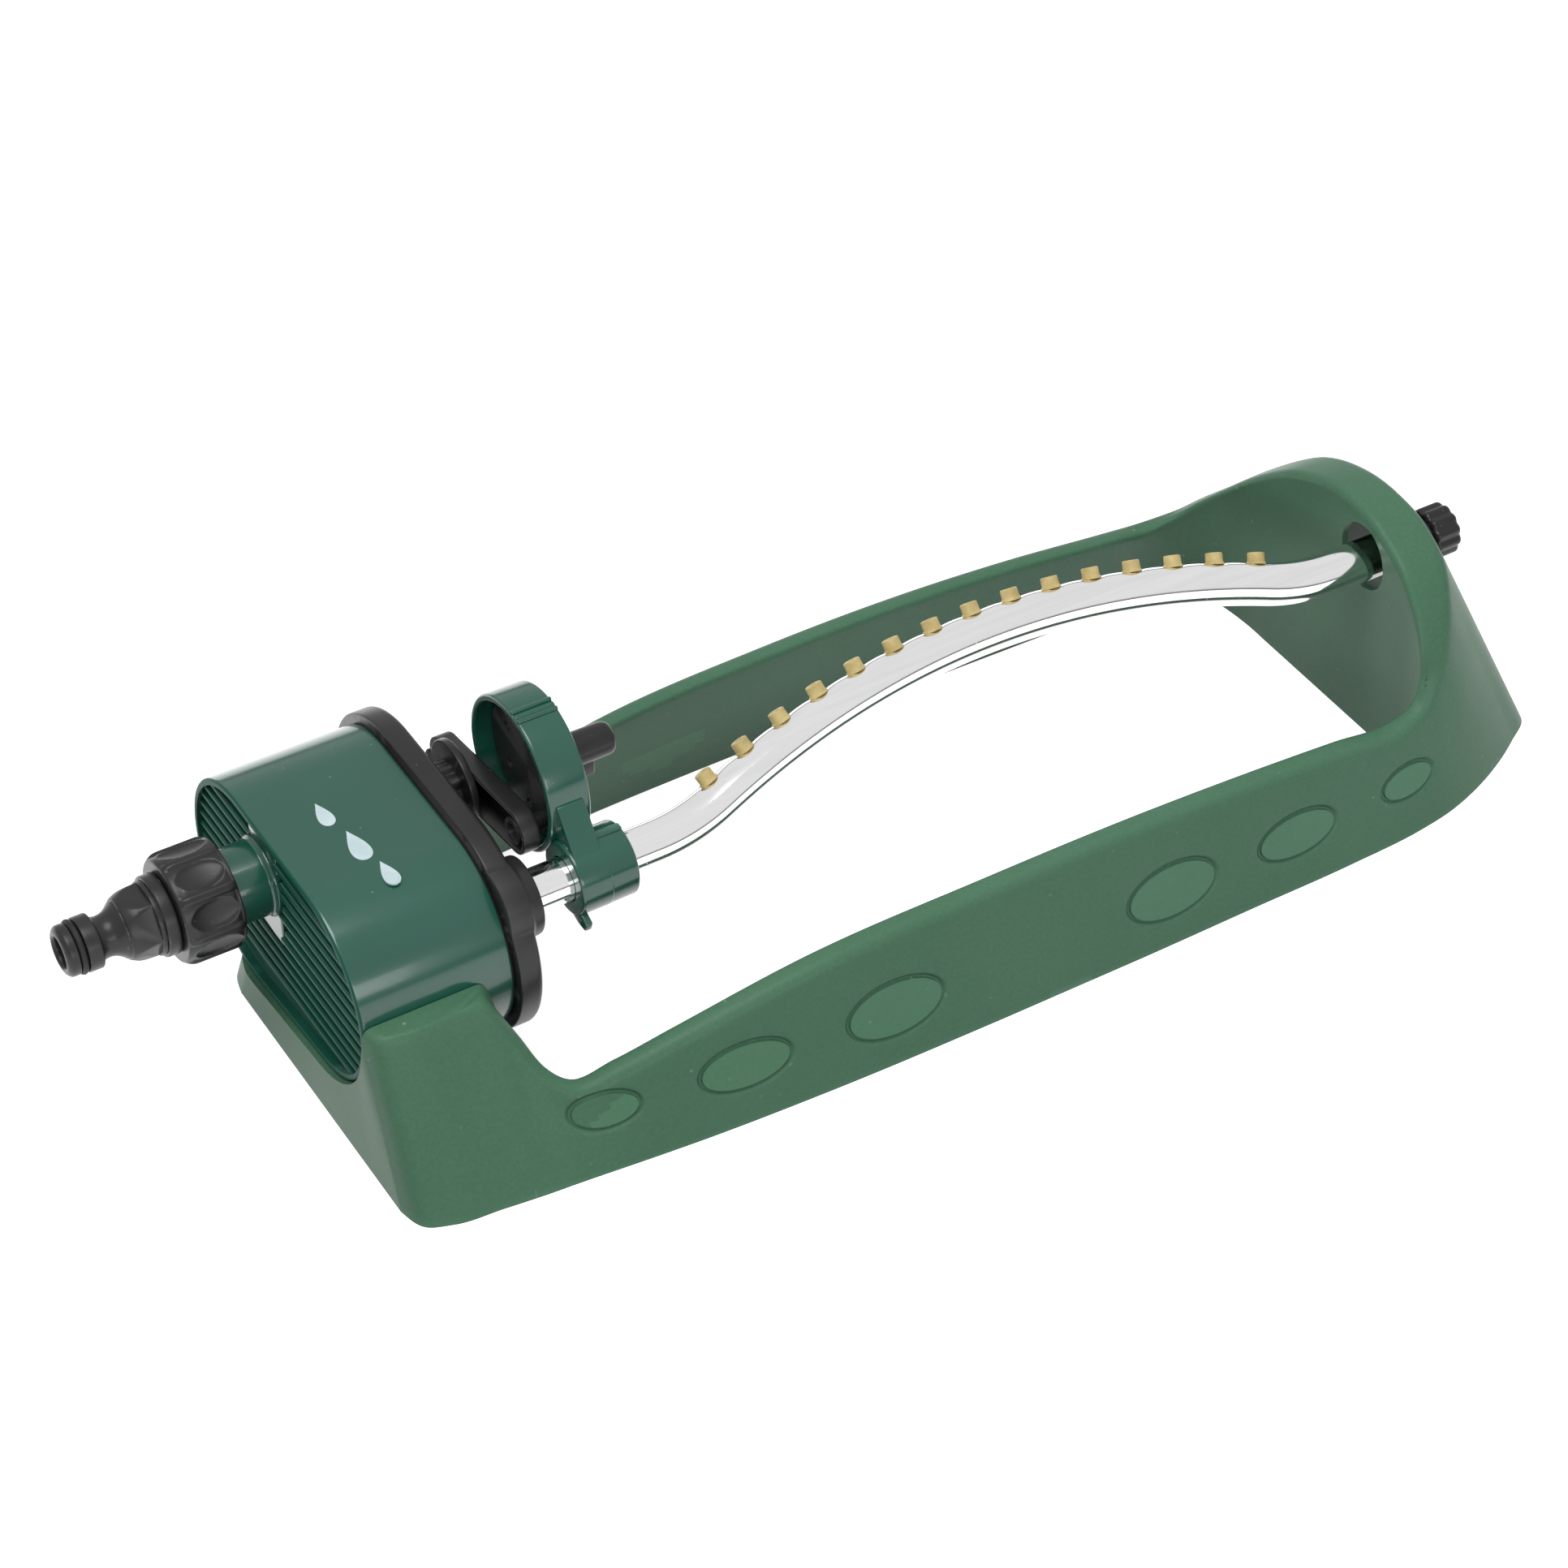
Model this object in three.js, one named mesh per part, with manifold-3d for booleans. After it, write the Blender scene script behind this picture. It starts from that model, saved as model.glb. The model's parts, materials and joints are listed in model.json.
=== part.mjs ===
// Oscillating lawn sprinkler: a moulded base frame, a water-driven gear motor in an oval
// housing, and an arched spray tube that rocks on a long axis between the motor and the frame's crown.
// Millimetres. +Z is up, the hose comes in at -X and the crown stands at +X. The origin is on the
// ground in the middle of the part, and every piece is laid out from the rocking axis of the tube:
// x along it, y towards the back, z up.
import * as THREE from 'three';
import { mergeVertices } from 'three/addons/utils/BufferGeometryUtils.js';
import Module from 'manifold-3d';

const wasm = await Module();
wasm.setup();

// ---------------------------------------------------------------- driving dimensions
const PIVOT_HEIGHT = 64;            // rocking axis above the ground
const PIVOT_OFFSET = [41.5, -20.85]; // rocking axis from the middle of the part, x and y
const GAP = 0.3;                    // clearance between pieces that touch

const FRAME = { wall: 2.2, middleY: 17.65, tubeHole: [10.5, 11.3], tubeHoleZ: 1.5, endHole: 9.3 };
// The housing's outline is an oval round two circles: y, z and radius of the front and the back one.
const HOUSING = { left: -211, right: -165, front: [17.5, -17, 31], back: [61, -18.6, 33.4], wall: 2 };
const TUBE_SEAL = { left: -157.1, right: -154.9, radius: 8.6 };
const COVER = { left: -164.2, right: -157, overhang: 3, bossRadius: 12.6, bossEnd: -153 };
const INLET = { y: 50, z: -5, radius: 11.25, bore: 7.6, end: -229.5 };
const TUBE = { radius: 6.5, wall: 0.9, left: -160.8, right: 156.6, tilt: 40 };
const ARCH = { middleX: 5, rise: 21.5, radius: 260, halfSpan: 95 };
const NOZZLES = { count: 15, pitch: 13.29, middleX: 4.5, radius: 2.7, proud: 3 };
const RING = { y: 28, z: 18, outer: 23.5, inner: 21.5, left: -142, right: -129 };
const GRIP = { angle: 100, radius: 1.5 };  // finger ridge on the yoke's ring
const CLAMP = { radius: 11.2, left: -141, right: -122.6 };
const ROCK_RANGE = 85;              // degrees, from leaning back to leaning forward
const CRANK_AXIS = [46, 5.5];         // y, z of the motor's output shaft
const DRIVE_PIN_RADIUS = 18;        // drive pin from the rocking axis, at the dial's full setting
const GEAR = { module: 0.62, pinion: 10, wheel: 20, face: 4 };
const LAYERS = [-186.5, -181.8, -177.1]; // x where each of the three gear meshes starts

const COLOURS = {
  frame: [0x2b5a42, 0.55, 0], gloss: [0x174a38, 0.25, 0], black: [0x1c1b1c, 0.45, 0],
  rubber: [0x111111, 0.85, 0], tube: [0xdedfe2, 0.12, 1], nozzle: [0xb4a36c, 0.5, 0],
  gear: [0xe8e6dc, 0.5, 0], steel: [0xb5b8bc, 0.3, 1], yoke: [0x1d5b45, 0.3, 0], filter: [0x3f6fa8, 0.5, 0],
};

// ---------------------------------------------------------------- helpers
const rad = THREE.MathUtils.degToRad;
const spray = new THREE.Group();
spray.position.set(PIVOT_OFFSET[0], PIVOT_OFFSET[1], PIVOT_HEIGHT);

/** Merges a geometry's vertices and turns its faces outward. */
function closed(geometry) {
  const bare = geometry.clone();
  for (const name of ['normal', 'uv']) bare.deleteAttribute(name);
  const merged = mergeVertices(bare, 1e-4);
  const p = merged.attributes.position.array;
  const index = merged.index.array;
  let volume = 0;
  for (let i = 0; i < index.length; i += 3) {
    const [a, b, c] = [index[i] * 3, index[i + 1] * 3, index[i + 2] * 3];
    volume += p[a] * (p[b + 1] * p[c + 2] - p[b + 2] * p[c + 1])
      - p[a + 1] * (p[b] * p[c + 2] - p[b + 2] * p[c])
      + p[a + 2] * (p[b] * p[c + 1] - p[b + 1] * p[c]);
  }
  if (volume < 0) for (let i = 0; i < index.length; i += 3) [index[i], index[i + 1]] = [index[i + 1], index[i]];
  return merged;
}

/** A manifold solid from a closed geometry. */
function solid(geometry) {
  const g = closed(geometry);
  return new wasm.Manifold(new wasm.Mesh({
    numProp: 3,
    vertProperties: new Float32Array(g.attributes.position.array),
    triVerts: new Uint32Array(g.index.array),
  }));
}

function geometryOf(manifold) {
  const mesh = manifold.getMesh();
  const geometry = new THREE.BufferGeometry();
  geometry.setAttribute('position', new THREE.BufferAttribute(mesh.vertProperties, 3));
  geometry.setIndex(new THREE.BufferAttribute(mesh.triVerts, 1));
  return geometry;
}

const unite = (first, ...rest) => rest.reduce((sum, next) => sum.add(next), first);
const cut = (first, ...rest) => rest.reduce((left, next) => left.subtract(next), first);

const Y_Z_X = new THREE.Matrix4().makeBasis(
  new THREE.Vector3(0, 1, 0), new THREE.Vector3(0, 0, 1), new THREE.Vector3(1, 0, 0));
const Z_X_Y = new THREE.Matrix4().makeBasis(
  new THREE.Vector3(0, 0, 1), new THREE.Vector3(1, 0, 0), new THREE.Vector3(0, 1, 0));

/** A shape drawn in y and z, extruded from x0 to x1. */
function prism(shape, x0, x1, curveSegments = 12) {
  const geometry = new THREE.ExtrudeGeometry(shape, { depth: x1 - x0, bevelEnabled: false, curveSegments });
  return geometry.applyMatrix4(Y_Z_X).translate(x0, 0, 0);
}

/** A profile of [x, radius] points turned about an axis along x through (y, z). */
function turned(profile, y, z, segments = 20) {
  const points = profile.map(([x, r]) => new THREE.Vector2(r, x));
  return new THREE.LatheGeometry(points, segments).applyMatrix4(Z_X_Y).translate(0, y, z);
}

/** A round bar along x, from x0 to x1. */
const bar = (x0, x1, radius, y, z, segments = 20) =>
  turned([[x0, 0], [x0, radius], [x1, radius], [x1, 0]], y, z, segments);

/** A ring along x whose profile closes on itself. */
const ring = (x0, x1, inner, outer, y, z, segments = 20) =>
  turned([[x0, inner], [x0, outer], [x1, outer], [x1, inner], [x0, inner]], y, z, segments);

const block = (x0, x1, y0, y1, z0, z1) => new THREE.BoxGeometry(x1 - x0, y1 - y0, z1 - z0)
  .translate((x0 + x1) / 2, (y0 + y1) / 2, (z0 + z1) / 2);

/** The housing's outline in y and z, moved out by `offset`: two arcs joined by straight sides. */
function oval(offset) {
  const [[y0, z0, r0], [y1, z1, r1]] = [HOUSING.front, HOUSING.back];
  const lean = Math.atan2(z1 - z0, y1 - y0);
  const half = Math.acos((r0 - r1) / Math.hypot(y1 - y0, z1 - z0));
  const shape = new THREE.Shape();
  shape.absarc(y1, z1, r1 + offset, lean - half, lean + half, false);
  shape.absarc(y0, z0, r0 + offset, lean + half, lean - half + Math.PI * 2, false);
  return shape;
}

/** A link outline: a slot shape between two centres, given in y and z. */
function linkShape(from, to, radius) {
  const angle = Math.atan2(to[1] - from[1], to[0] - from[0]);
  const shape = new THREE.Shape();
  shape.absarc(to[0], to[1], radius, angle - Math.PI / 2, angle + Math.PI / 2, false);
  shape.absarc(from[0], from[1], radius, angle + Math.PI / 2, angle + Math.PI * 1.5, false);
  return shape;
}

/** A wheel outline whose rim swings between two radii, `count` times round. */
function lobedShape(y, z, low, high, count, steps = 4) {
  const points = [];
  for (let i = 0; i < count * steps; i++) {
    const turn = (i / (count * steps)) * Math.PI * 2;
    const r = low + (high - low) * (0.5 + 0.5 * Math.cos(turn * count));
    points.push(new THREE.Vector2(y + r * Math.cos(turn), z + r * Math.sin(turn)));
  }
  return new THREE.Shape(points);
}

/** A toothed outline with slim flat-topped teeth; `phase` turns it, in teeth. */
function toothedShape(teeth, y, z, phase) {
  const pitchRadius = (teeth * GEAR.module) / 2;
  const rows = [[-0.27, -1.1], [-0.12, 0.75], [0.12, 0.75], [0.27, -1.1]];
  const points = [];
  for (let tooth = 0; tooth < teeth; tooth++) {
    for (const [offset, height] of rows) {
      const turn = ((tooth + phase + offset) / teeth) * Math.PI * 2;
      const r = pitchRadius + height * GEAR.module;
      points.push(new THREE.Vector2(y + r * Math.cos(turn), z + r * Math.sin(turn)));
    }
  }
  return new THREE.Shape(points);
}

function piece(name, geometry, look) {
  const [color, roughness, metalness] = COLOURS[look];
  const mesh = new THREE.Mesh(geometry, new THREE.MeshStandardMaterial({ color, roughness, metalness }));
  mesh.name = name;
  spray.add(mesh);
}

// ---------------------------------------------------------------- base frame
// The frame is a hollow ring, open underneath. Each section of the ring runs from the outer foot over
// the outer edge and the inner edge of the rim to the inner foot. These sections go round the front
// half, from the middle of the hose end to the middle of the crown.
// Each row: outer foot x, y; outer edge x, y, z; inner edge x, y, z; inner foot x, y.
const SECTIONS = [
  [-213, 17.65, -211.5, 17.65, -12, -171, 17.65, -12, -166, 17.65],
  [-213, -14, -211.5, -4, -12, -171, 2, -12, -166, -10],
  [-213, -33, -211.5, -12, -12, -172, -7, -12, -166, -26],
  [-210, -41.5, -209, -18.5, -12, -173, -11, -12, -166, -31],
  [-203, -44.8, -203, -20.5, -12, -174, -13, -12, -166, -35],
  [-188, -46.8, -188, -21, -12, -175, -15, -12, -165.5, -37.5],
  [-178, -48, -178.5, -21.5, -12.5, -175.3, -17.5, -13, -165, -40],
  [-171.5, -48.6, -172.6, -27.5, -24, -169.9, -24, -24, -164, -42],
  [-166.5, -49, -167.6, -34, -34, -165.6, -30.5, -33, -162, -43],
  [-160, -49.6, -160.5, -39.5, -38.7, -160, -33.5, -38, -158, -43.8],
  [-147, -50.9, -147, -42.3, -36, -147, -35.5, -35.2, -147, -45],
  [-129, -52.5, -129, -43.8, -31.8, -129, -36.8, -31, -129, -46.6],
  [-88, -54.7, -88, -46, -24, -88, -38.7, -23, -88, -48.7],
  [-28, -55.7, -28, -47, -21, -28, -40, -20.2, -28, -49.7],
  [20, -55.7, 20, -47, -21.2, 20, -40, -20.4, 20, -49.7],
  [60, -55.2, 60, -46.6, -23.4, 60, -39.5, -22.5, 60, -49.2],
  [97, -54.8, 97, -45.8, -26.8, 97, -38.6, -25.9, 97, -48.6],
  [124, -53.3, 120, -44.3, -29.3, 118, -37.6, -28.8, 121, -47],
  [137, -51.2, 129.5, -42.4, -26.5, 126.5, -37, -26.8, 130, -45],
  [150, -47.2, 136, -39.5, -19, 130, -36.5, -20, 135, -41],
  [164, -40.9, 141, -35.5, -8.5, 131, -35.3, -10, 137.2, -34],
  [175, -34.4, 145, -29, 2, 132, -29.4, 0.6, 138, -26],
  [183.4, -28.4, 148, -20.3, 10.6, 133, -19.5, 9.8, 138, -17],
  [185.8, -21, 149.2, -11, 14.8, 134, -9, 14.4, 138, -10],
  [187.5, 0, 150, 4, 17.6, 134.4, 4, 18, 138, 3],
  [188, 17.65, 150, 17, 17.2, 134.5, 17, 17.8, 138, 17],
];
// The crown's back falls away in a longer slope than its front, down to the back panel.
const CROWN_BACK = [
  [187.5, 35, 150, 33, 12.4, 134, 33, 12.2, 138, 33],
  [185.8, 56, 148, 46, 4.5, 133, 45, 4.8, 138, 45],
  [183.4, 63.7, 145, 57, -5, 131.5, 55, -3.6, 138, 54],
  [175, 69.7, 139.5, 67, -15, 129.5, 64, -12.8, 137, 65],
  [164, 76.2, 133, 75.5, -23, 125.5, 70.5, -20.5, 135, 73.5],
  [150, 82.5, 126, 80, -28, 119.5, 74, -26, 131, 79.5],
  [137, 86.8, 118.5, 81.6, -29.2, 112.5, 74.8, -28.2, 123, 82.6],
];
// Sections before this one also stand, mirrored, in the back half.
const FIRST_CROWN_SECTION = 17;
const RIM_RADIUS = 3.2;  // rounding along both edges of the rim

/** Points that replace the corner b of a-b-c by an arc-like curve of about the given radius. */
function rounded(a, b, c, radius, steps) {
  const before = b.clone().lerp(a, Math.min(0.45, radius / b.distanceTo(a)));
  const after = b.clone().lerp(c, Math.min(0.45, radius / b.distanceTo(c)));
  const curve = new THREE.QuadraticBezierCurve3(before, b, after);
  return curve.getPoints(steps);
}

/** Every section of the frame's ring as a list of points from the outer foot to the inner foot. */
function frameSections() {
  const foot = -PIVOT_HEIGHT;
  const mirrored = SECTIONS.slice(1, FIRST_CROWN_SECTION).reverse().map((row) =>
    row.map((value, i) => ([1, 3, 6, 9].includes(i) ? 2 * FRAME.middleY - value : value)));
  return [...SECTIONS, ...CROWN_BACK, ...mirrored].map(([ax, ay, bx, by, bz, cx, cy, cz, dx, dy]) => {
    const [a, b] = [new THREE.Vector3(ax, ay, foot), new THREE.Vector3(bx, by, bz)];
    const [c, d] = [new THREE.Vector3(cx, cy, cz), new THREE.Vector3(dx, dy, foot)];
    return [a, ...rounded(a, b, c, RIM_RADIUS, 2), ...rounded(b, c, d, RIM_RADIUS, 2), d];
  });
}

/** A closed ring through the sections, with an optional offset inward and a lower floor. */
function ringSolid(sections, inset, drop) {
  const [rows, cols] = [sections.length, sections[0].length];
  const at = (i, j) => sections[(i + rows) % rows][j];
  const positions = [];
  for (let i = 0; i < rows; i++) {
    for (let j = 0; j < cols; j++) {
      const along = at(i + 1, j).clone().sub(at(i - 1, j));
      const across = at(i, Math.min(j + 1, cols - 1)).clone().sub(at(i, Math.max(j - 1, 0)));
      const normal = across.cross(along).normalize();  // points into the wall
      const foot = j === 0 || j === cols - 1;
      if (foot) normal.setZ(0).normalize();
      const point = at(i, j).clone().addScaledVector(normal, inset);
      if (foot) point.z -= drop;
      positions.push(point.x, point.y, point.z);
    }
  }
  const index = [];
  for (let i = 0; i < rows; i++) {
    for (let j = 0; j < cols; j++) {
      const [a, b] = [i * cols + j, i * cols + ((j + 1) % cols)];
      const [c, d] = [((i + 1) % rows) * cols + j, ((i + 1) % rows) * cols + ((j + 1) % cols)];
      index.push(a, c, b, b, c, d);
    }
  }
  const geometry = new THREE.BufferGeometry();
  geometry.setAttribute('position', new THREE.Float32BufferAttribute(positions, 3));
  geometry.setIndex(index);
  return solid(geometry);
}

function baseFrame() {
  const sections = frameSections();
  const cradle = (extra) => unite(
    solid(prism(oval(GAP + extra), -230, COVER.bossEnd, 16)),
    solid(prism(oval(COVER.overhang + GAP + extra), HOUSING.right - GAP - extra, COVER.bossEnd + extra, 16)));
  const outer = ringSolid(sections, 0, 0).subtract(cradle(0));
  const inner = ringSolid(sections, FRAME.wall, 6).subtract(cradle(FRAME.wall));
  const [holeY, holeZ] = FRAME.tubeHole;
  const hole = new THREE.Shape();
  hole.absellipse(0, FRAME.tubeHoleZ, holeY, holeZ, 0, Math.PI * 2, false, 0);
  return cut(outer, inner, solid(prism(hole, 120, 144, 12)), solid(bar(140, 200, FRAME.endHole, 0, 0)));
}

piece('base_frame', geometryOf(baseFrame()), 'frame');

// ---------------------------------------------------------------- motor housing and cover
const RIBS = { count: 11, pitch: 4.6, middleZ: -17.5, width: 1.7, depth: 3.2, floor: 1.8, ends: [-20, 100] };

function motorHousing() {
  const { left, right, wall } = HOUSING;
  const face = left + RIBS.depth;
  const shell = cut(
    solid(prism(oval(0), left, right, 12)),
    solid(prism(oval(-wall), left - 1, face, 12)),
    solid(prism(oval(-wall), face + RIBS.floor, right + 1, 12)));
  const inside = solid(prism(oval(0.5 - wall), left, face + 0.5, 12));
  const ribs = [];
  for (let i = 0; i < RIBS.count; i++) {
    const middle = RIBS.middleZ + (i - (RIBS.count - 1) / 2) * RIBS.pitch;
    const rib = block(left + 1, face + 0.4, ...RIBS.ends, middle - RIBS.width / 2, middle + RIBS.width / 2);
    ribs.push(solid(rib).intersect(inside));
  }
  const pad = solid(bar(left + 0.8, face + 0.5, 17, INLET.y, INLET.z)).intersect(inside);
  const socket = solid(bar(INLET.end, face + 0.5, INLET.radius, INLET.y, INLET.z));
  const bore = solid(bar(INLET.end - 1, face + RIBS.floor + 1, INLET.bore, INLET.y, INLET.z));
  return cut(unite(shell, ...ribs, pad, socket), bore);
}

piece('motor_housing', geometryOf(motorHousing()), 'gloss');

function motorCover() {
  const { left, right, overhang, bossRadius, bossEnd } = COVER;
  const [shaftY, shaftZ] = CRANK_AXIS;
  const plate = cut(
    solid(prism(oval(overhang), left, right, 12)),
    solid(prism(oval(-HOUSING.wall - 1), left - 1, right - 2.4, 12)));
  const outlet = solid(bar(left, bossEnd, bossRadius, 0, 0));
  const shaftBoss = solid(bar(left, right + 0.6, 8, shaftY, shaftZ));
  return cut(unite(plate, outlet, shaftBoss),
    solid(bar(left + 3, bossEnd + 1, TUBE.radius + GAP, 0, 0)),
    solid(bar(TUBE_SEAL.left - GAP, TUBE_SEAL.right + GAP, TUBE_SEAL.radius + GAP, 0, 0)),
    solid(bar(left - 1, right + 2, 2.8, shaftY, shaftZ)),
    solid(bar(left - 1, -160.2, 5.4, shaftY, shaftZ)));
}

piece('motor_cover', geometryOf(motorCover()), 'black');

function coverGasket() {
  const outline = oval(-0.4);
  outline.holes.push(oval(0.2 - HOUSING.wall));
  return prism(outline, HOUSING.right + 0.1, COVER.left - 0.1, 8);
}

piece('cover_gasket', coverGasket(), 'rubber');
piece('tube_seal', ring(TUBE_SEAL.left, TUBE_SEAL.right, TUBE.radius + 0.15, TUBE_SEAL.radius, 0, 0), 'rubber');
piece('shaft_seal', ring(-163.8, -160.5, 2.75, 5.1, ...CRANK_AXIS, 16), 'rubber');

// ---------------------------------------------------------------- hose connection
const NUT = { left: -239, right: -221.5, radius: 16.5, lobes: 8, thread: 11.65 };
const ADAPTER = { tip: -271, bore: 4.5, flange: 11.3, face: -231.6 };
const NUT_SHOULDER = -234.7;

function swivelNut() {
  const body = prism(lobedShape(INLET.y, INLET.z, 14.9, NUT.radius, NUT.lobes), NUT.left, NUT.right);
  return cut(solid(body),
    solid(bar(NUT_SHOULDER, NUT.right + 1, NUT.thread, INLET.y, INLET.z)),
    solid(bar(NUT.left - 1, NUT.right + 1, 9.6, INLET.y, INLET.z)));
}

/** Quick-connect nose, groove for its ring, waist, hexagon and the flange held by the nut. */
function hoseAdapter() {
  const outside = [
    [ADAPTER.tip, 5.9], [-269.6, 7.6], [-267.3, 7.6], [-267.3, 6.2], [-264.9, 6.2], [-264.9, 8.1],
    [-260.6, 8.1], [-260.2, 6.6], [-256.5, 6.2], [-253.6, 8.6], [-243.4, 8.8], [-243.4, 9.2],
    [NUT_SHOULDER + GAP, 9.2], [NUT_SHOULDER + GAP, ADAPTER.flange], [ADAPTER.face, ADAPTER.flange],
  ];
  const inside = [[ADAPTER.face, 6], [-235, ADAPTER.bore], [ADAPTER.tip, ADAPTER.bore]];
  const turnedBody = solid(turned([...outside, ...inside, outside[0]], INLET.y, INLET.z, 24));
  const collar = solid(ring(-243.2, NUT.left - GAP, 6, 12, INLET.y, INLET.z));
  const hexagon = solid(ring(-252.6, -243.5, 6, 10.6, INLET.y, INLET.z, 6));
  return unite(turnedBody, hexagon, collar);
}

piece('swivel_nut', geometryOf(swivelNut()), 'black');
piece('hose_adapter', geometryOf(hoseAdapter()), 'black');
piece('adapter_oring', turned([[-266.9, 6.5], [-267, 7.3], [-266.5, 8.1], [-265.7, 8.1], [-265.2, 7.3],
  [-265.3, 6.5], [-266.9, 6.5]], INLET.y, INLET.z), 'rubber');
piece('inlet_washer', ring(ADAPTER.face + GAP, INLET.end - GAP, 7, 11.2, INLET.y, INLET.z), 'rubber');
piece('inlet_filter', turned([[-229, 6.6], [-229, 7.3], [-214, 4.6], [-214, 0], [-214.8, 0], [-214.8, 4],
  [-229, 6.6]], INLET.y, INLET.z, 20), 'filter');

// ---------------------------------------------------------------- spray tube and nozzles
/** Height of the tube's centre line over the rocking axis, in the plane of the arch. */
function archHeight(x) {
  const run = Math.abs(x - ARCH.middleX);
  if (run <= ARCH.halfSpan) return ARCH.rise - run ** 2 / (2 * ARCH.radius);
  const edge = ARCH.rise - ARCH.halfSpan ** 2 / (2 * ARCH.radius);
  const easing = (2 * edge * ARCH.radius) / ARCH.halfSpan;
  const left = Math.max(0, 1 - (run - ARCH.halfSpan) / easing);
  return edge * left ** 2;
}

/** A point of the arch plane, lifted off the rocking axis and leaning to the back. */
const leaning = (x, height) => new THREE.Vector3(
  x, height * Math.sin(rad(TUBE.tilt)), height * Math.cos(rad(TUBE.tilt)));

/** The tube's centre line between two places on the rocking axis. */
class ArchCurve extends THREE.Curve {
  constructor(left, right) {
    super();
    [this.left, this.right] = [left, right];
  }

  getPoint(t) {
    const x = THREE.MathUtils.lerp(this.left, this.right, t);
    return leaning(x, archHeight(x));
  }
}

/** Where nozzle `i` stands: its foot on the centre line and the direction it points. */
function nozzlePlace(i) {
  const x = NOZZLES.middleX + (i - (NOZZLES.count - 1) / 2) * NOZZLES.pitch;
  const slope = (archHeight(x + 0.5) - archHeight(x - 0.5));
  const up = leaning(-slope, 1).normalize();
  return { foot: leaning(x, archHeight(x)), up };
}

function placed(geometry, { foot, up }) {
  const turn = new THREE.Quaternion().setFromUnitVectors(new THREE.Vector3(0, 1, 0), up);
  return geometry.applyQuaternion(turn).translate(foot.x, foot.y, foot.z);
}

function sprayTube() {
  const pipe = (radius, left, right) => {
    const shape = new THREE.Shape();
    shape.absarc(0, 0, radius, 0, Math.PI * 2, false);
    const path = new ArchCurve(left, right);
    return solid(new THREE.ExtrudeGeometry(shape, { steps: 36, extrudePath: path, curveSegments: 6 }));
  };
  let tube = pipe(TUBE.radius, TUBE.left, TUBE.right)
    .subtract(pipe(TUBE.radius - TUBE.wall, TUBE.left - 1, TUBE.right + 1));
  for (let i = 0; i < NOZZLES.count; i++) {
    const hole = new THREE.CylinderGeometry(2.1, 2.1, TUBE.radius + 2, 8).translate(0, TUBE.radius / 2 + 1, 0);
    tube = tube.subtract(solid(placed(hole, nozzlePlace(i))));
  }
  return tube;
}

/** A jet insert: stem through the tube's wall, head outside, and a fine bore. */
function nozzle(i) {
  const [seat, top] = [TUBE.radius + 0.25, TUBE.radius + NOZZLES.proud];
  const profile = [[0.7, TUBE.radius - 2.4], [1.7, TUBE.radius - 2.4], [1.7, seat], [NOZZLES.radius, seat],
    [NOZZLES.radius, top], [0.7, top], [0.7, TUBE.radius - 2.4]];
  const geometry = new THREE.LatheGeometry(profile.map(([r, h]) => new THREE.Vector2(r, h)), 8);
  return placed(geometry, nozzlePlace(i));
}

piece('spray_tube', geometryOf(sprayTube()), 'tube');
for (let i = 0; i < NOZZLES.count; i++) {
  piece(`nozzle_${String(i + 1).padStart(2, '0')}`, nozzle(i), 'nozzle');
}

// ---------------------------------------------------------------- end plug
const PLUG = { left: 158, right: 167.2, low: 7.6, high: 8.4, flutes: 12, stem: 4.9, stemEnd: 142 };

piece('end_plug', geometryOf(unite(
  solid(prism(lobedShape(0, 0, PLUG.low, PLUG.high, PLUG.flutes), PLUG.left, PLUG.right)),
  solid(bar(PLUG.stemEnd, PLUG.left + 1, PLUG.stem, 0, 0)))), 'black');
piece('plug_seal', ring(TUBE.right + 0.3, PLUG.left - 0.3, PLUG.stem + 0.3, 6.4, 0, 0), 'rubber');

// ---------------------------------------------------------------- yoke, dial, link and crank
/** A point at `radius` from the rocking axis, on the line through the yoke ring's middle. */
const ringDistance = Math.hypot(RING.y, RING.z);
const towardsRing = (radius) => [(RING.y * radius) / ringDistance, (RING.z * radius) / ringDistance];

const turnedBy = ([y, z], degrees) => [
  y * Math.cos(rad(degrees)) - z * Math.sin(rad(degrees)),
  y * Math.sin(rad(degrees)) + z * Math.cos(rad(degrees))];
const away = ([y, z], [fromY, fromZ]) => Math.hypot(y - fromY, z - fromZ);

// The drive pin is nearest to and farthest from the crank's axis at the two ends of the rocking, so
// those two distances give the link's length and the crank's throw.
const DRIVE_PIN = towardsRing(DRIVE_PIN_RADIUS);
const NEAR = away(CRANK_AXIS, DRIVE_PIN);
const FAR = away(CRANK_AXIS, turnedBy(DRIVE_PIN, ROCK_RANGE));
const THROW = (FAR - NEAR) / 2;
const CRANK_PIN = CRANK_AXIS.map((value, i) => value + ((value - DRIVE_PIN[i]) * THROW) / NEAR);

const DISC = { left: -151.6, right: -149.2, radius: 13, lobe: 4.6 };
const LINK = { left: -148.8, right: -143.2, radius: 7.2, pocket: 5.4, hole: 2.6 };
const DIAL = { left: -136.4, right: -133.6, radius: 21, knob: 5, knobEnd: -110 };

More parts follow.
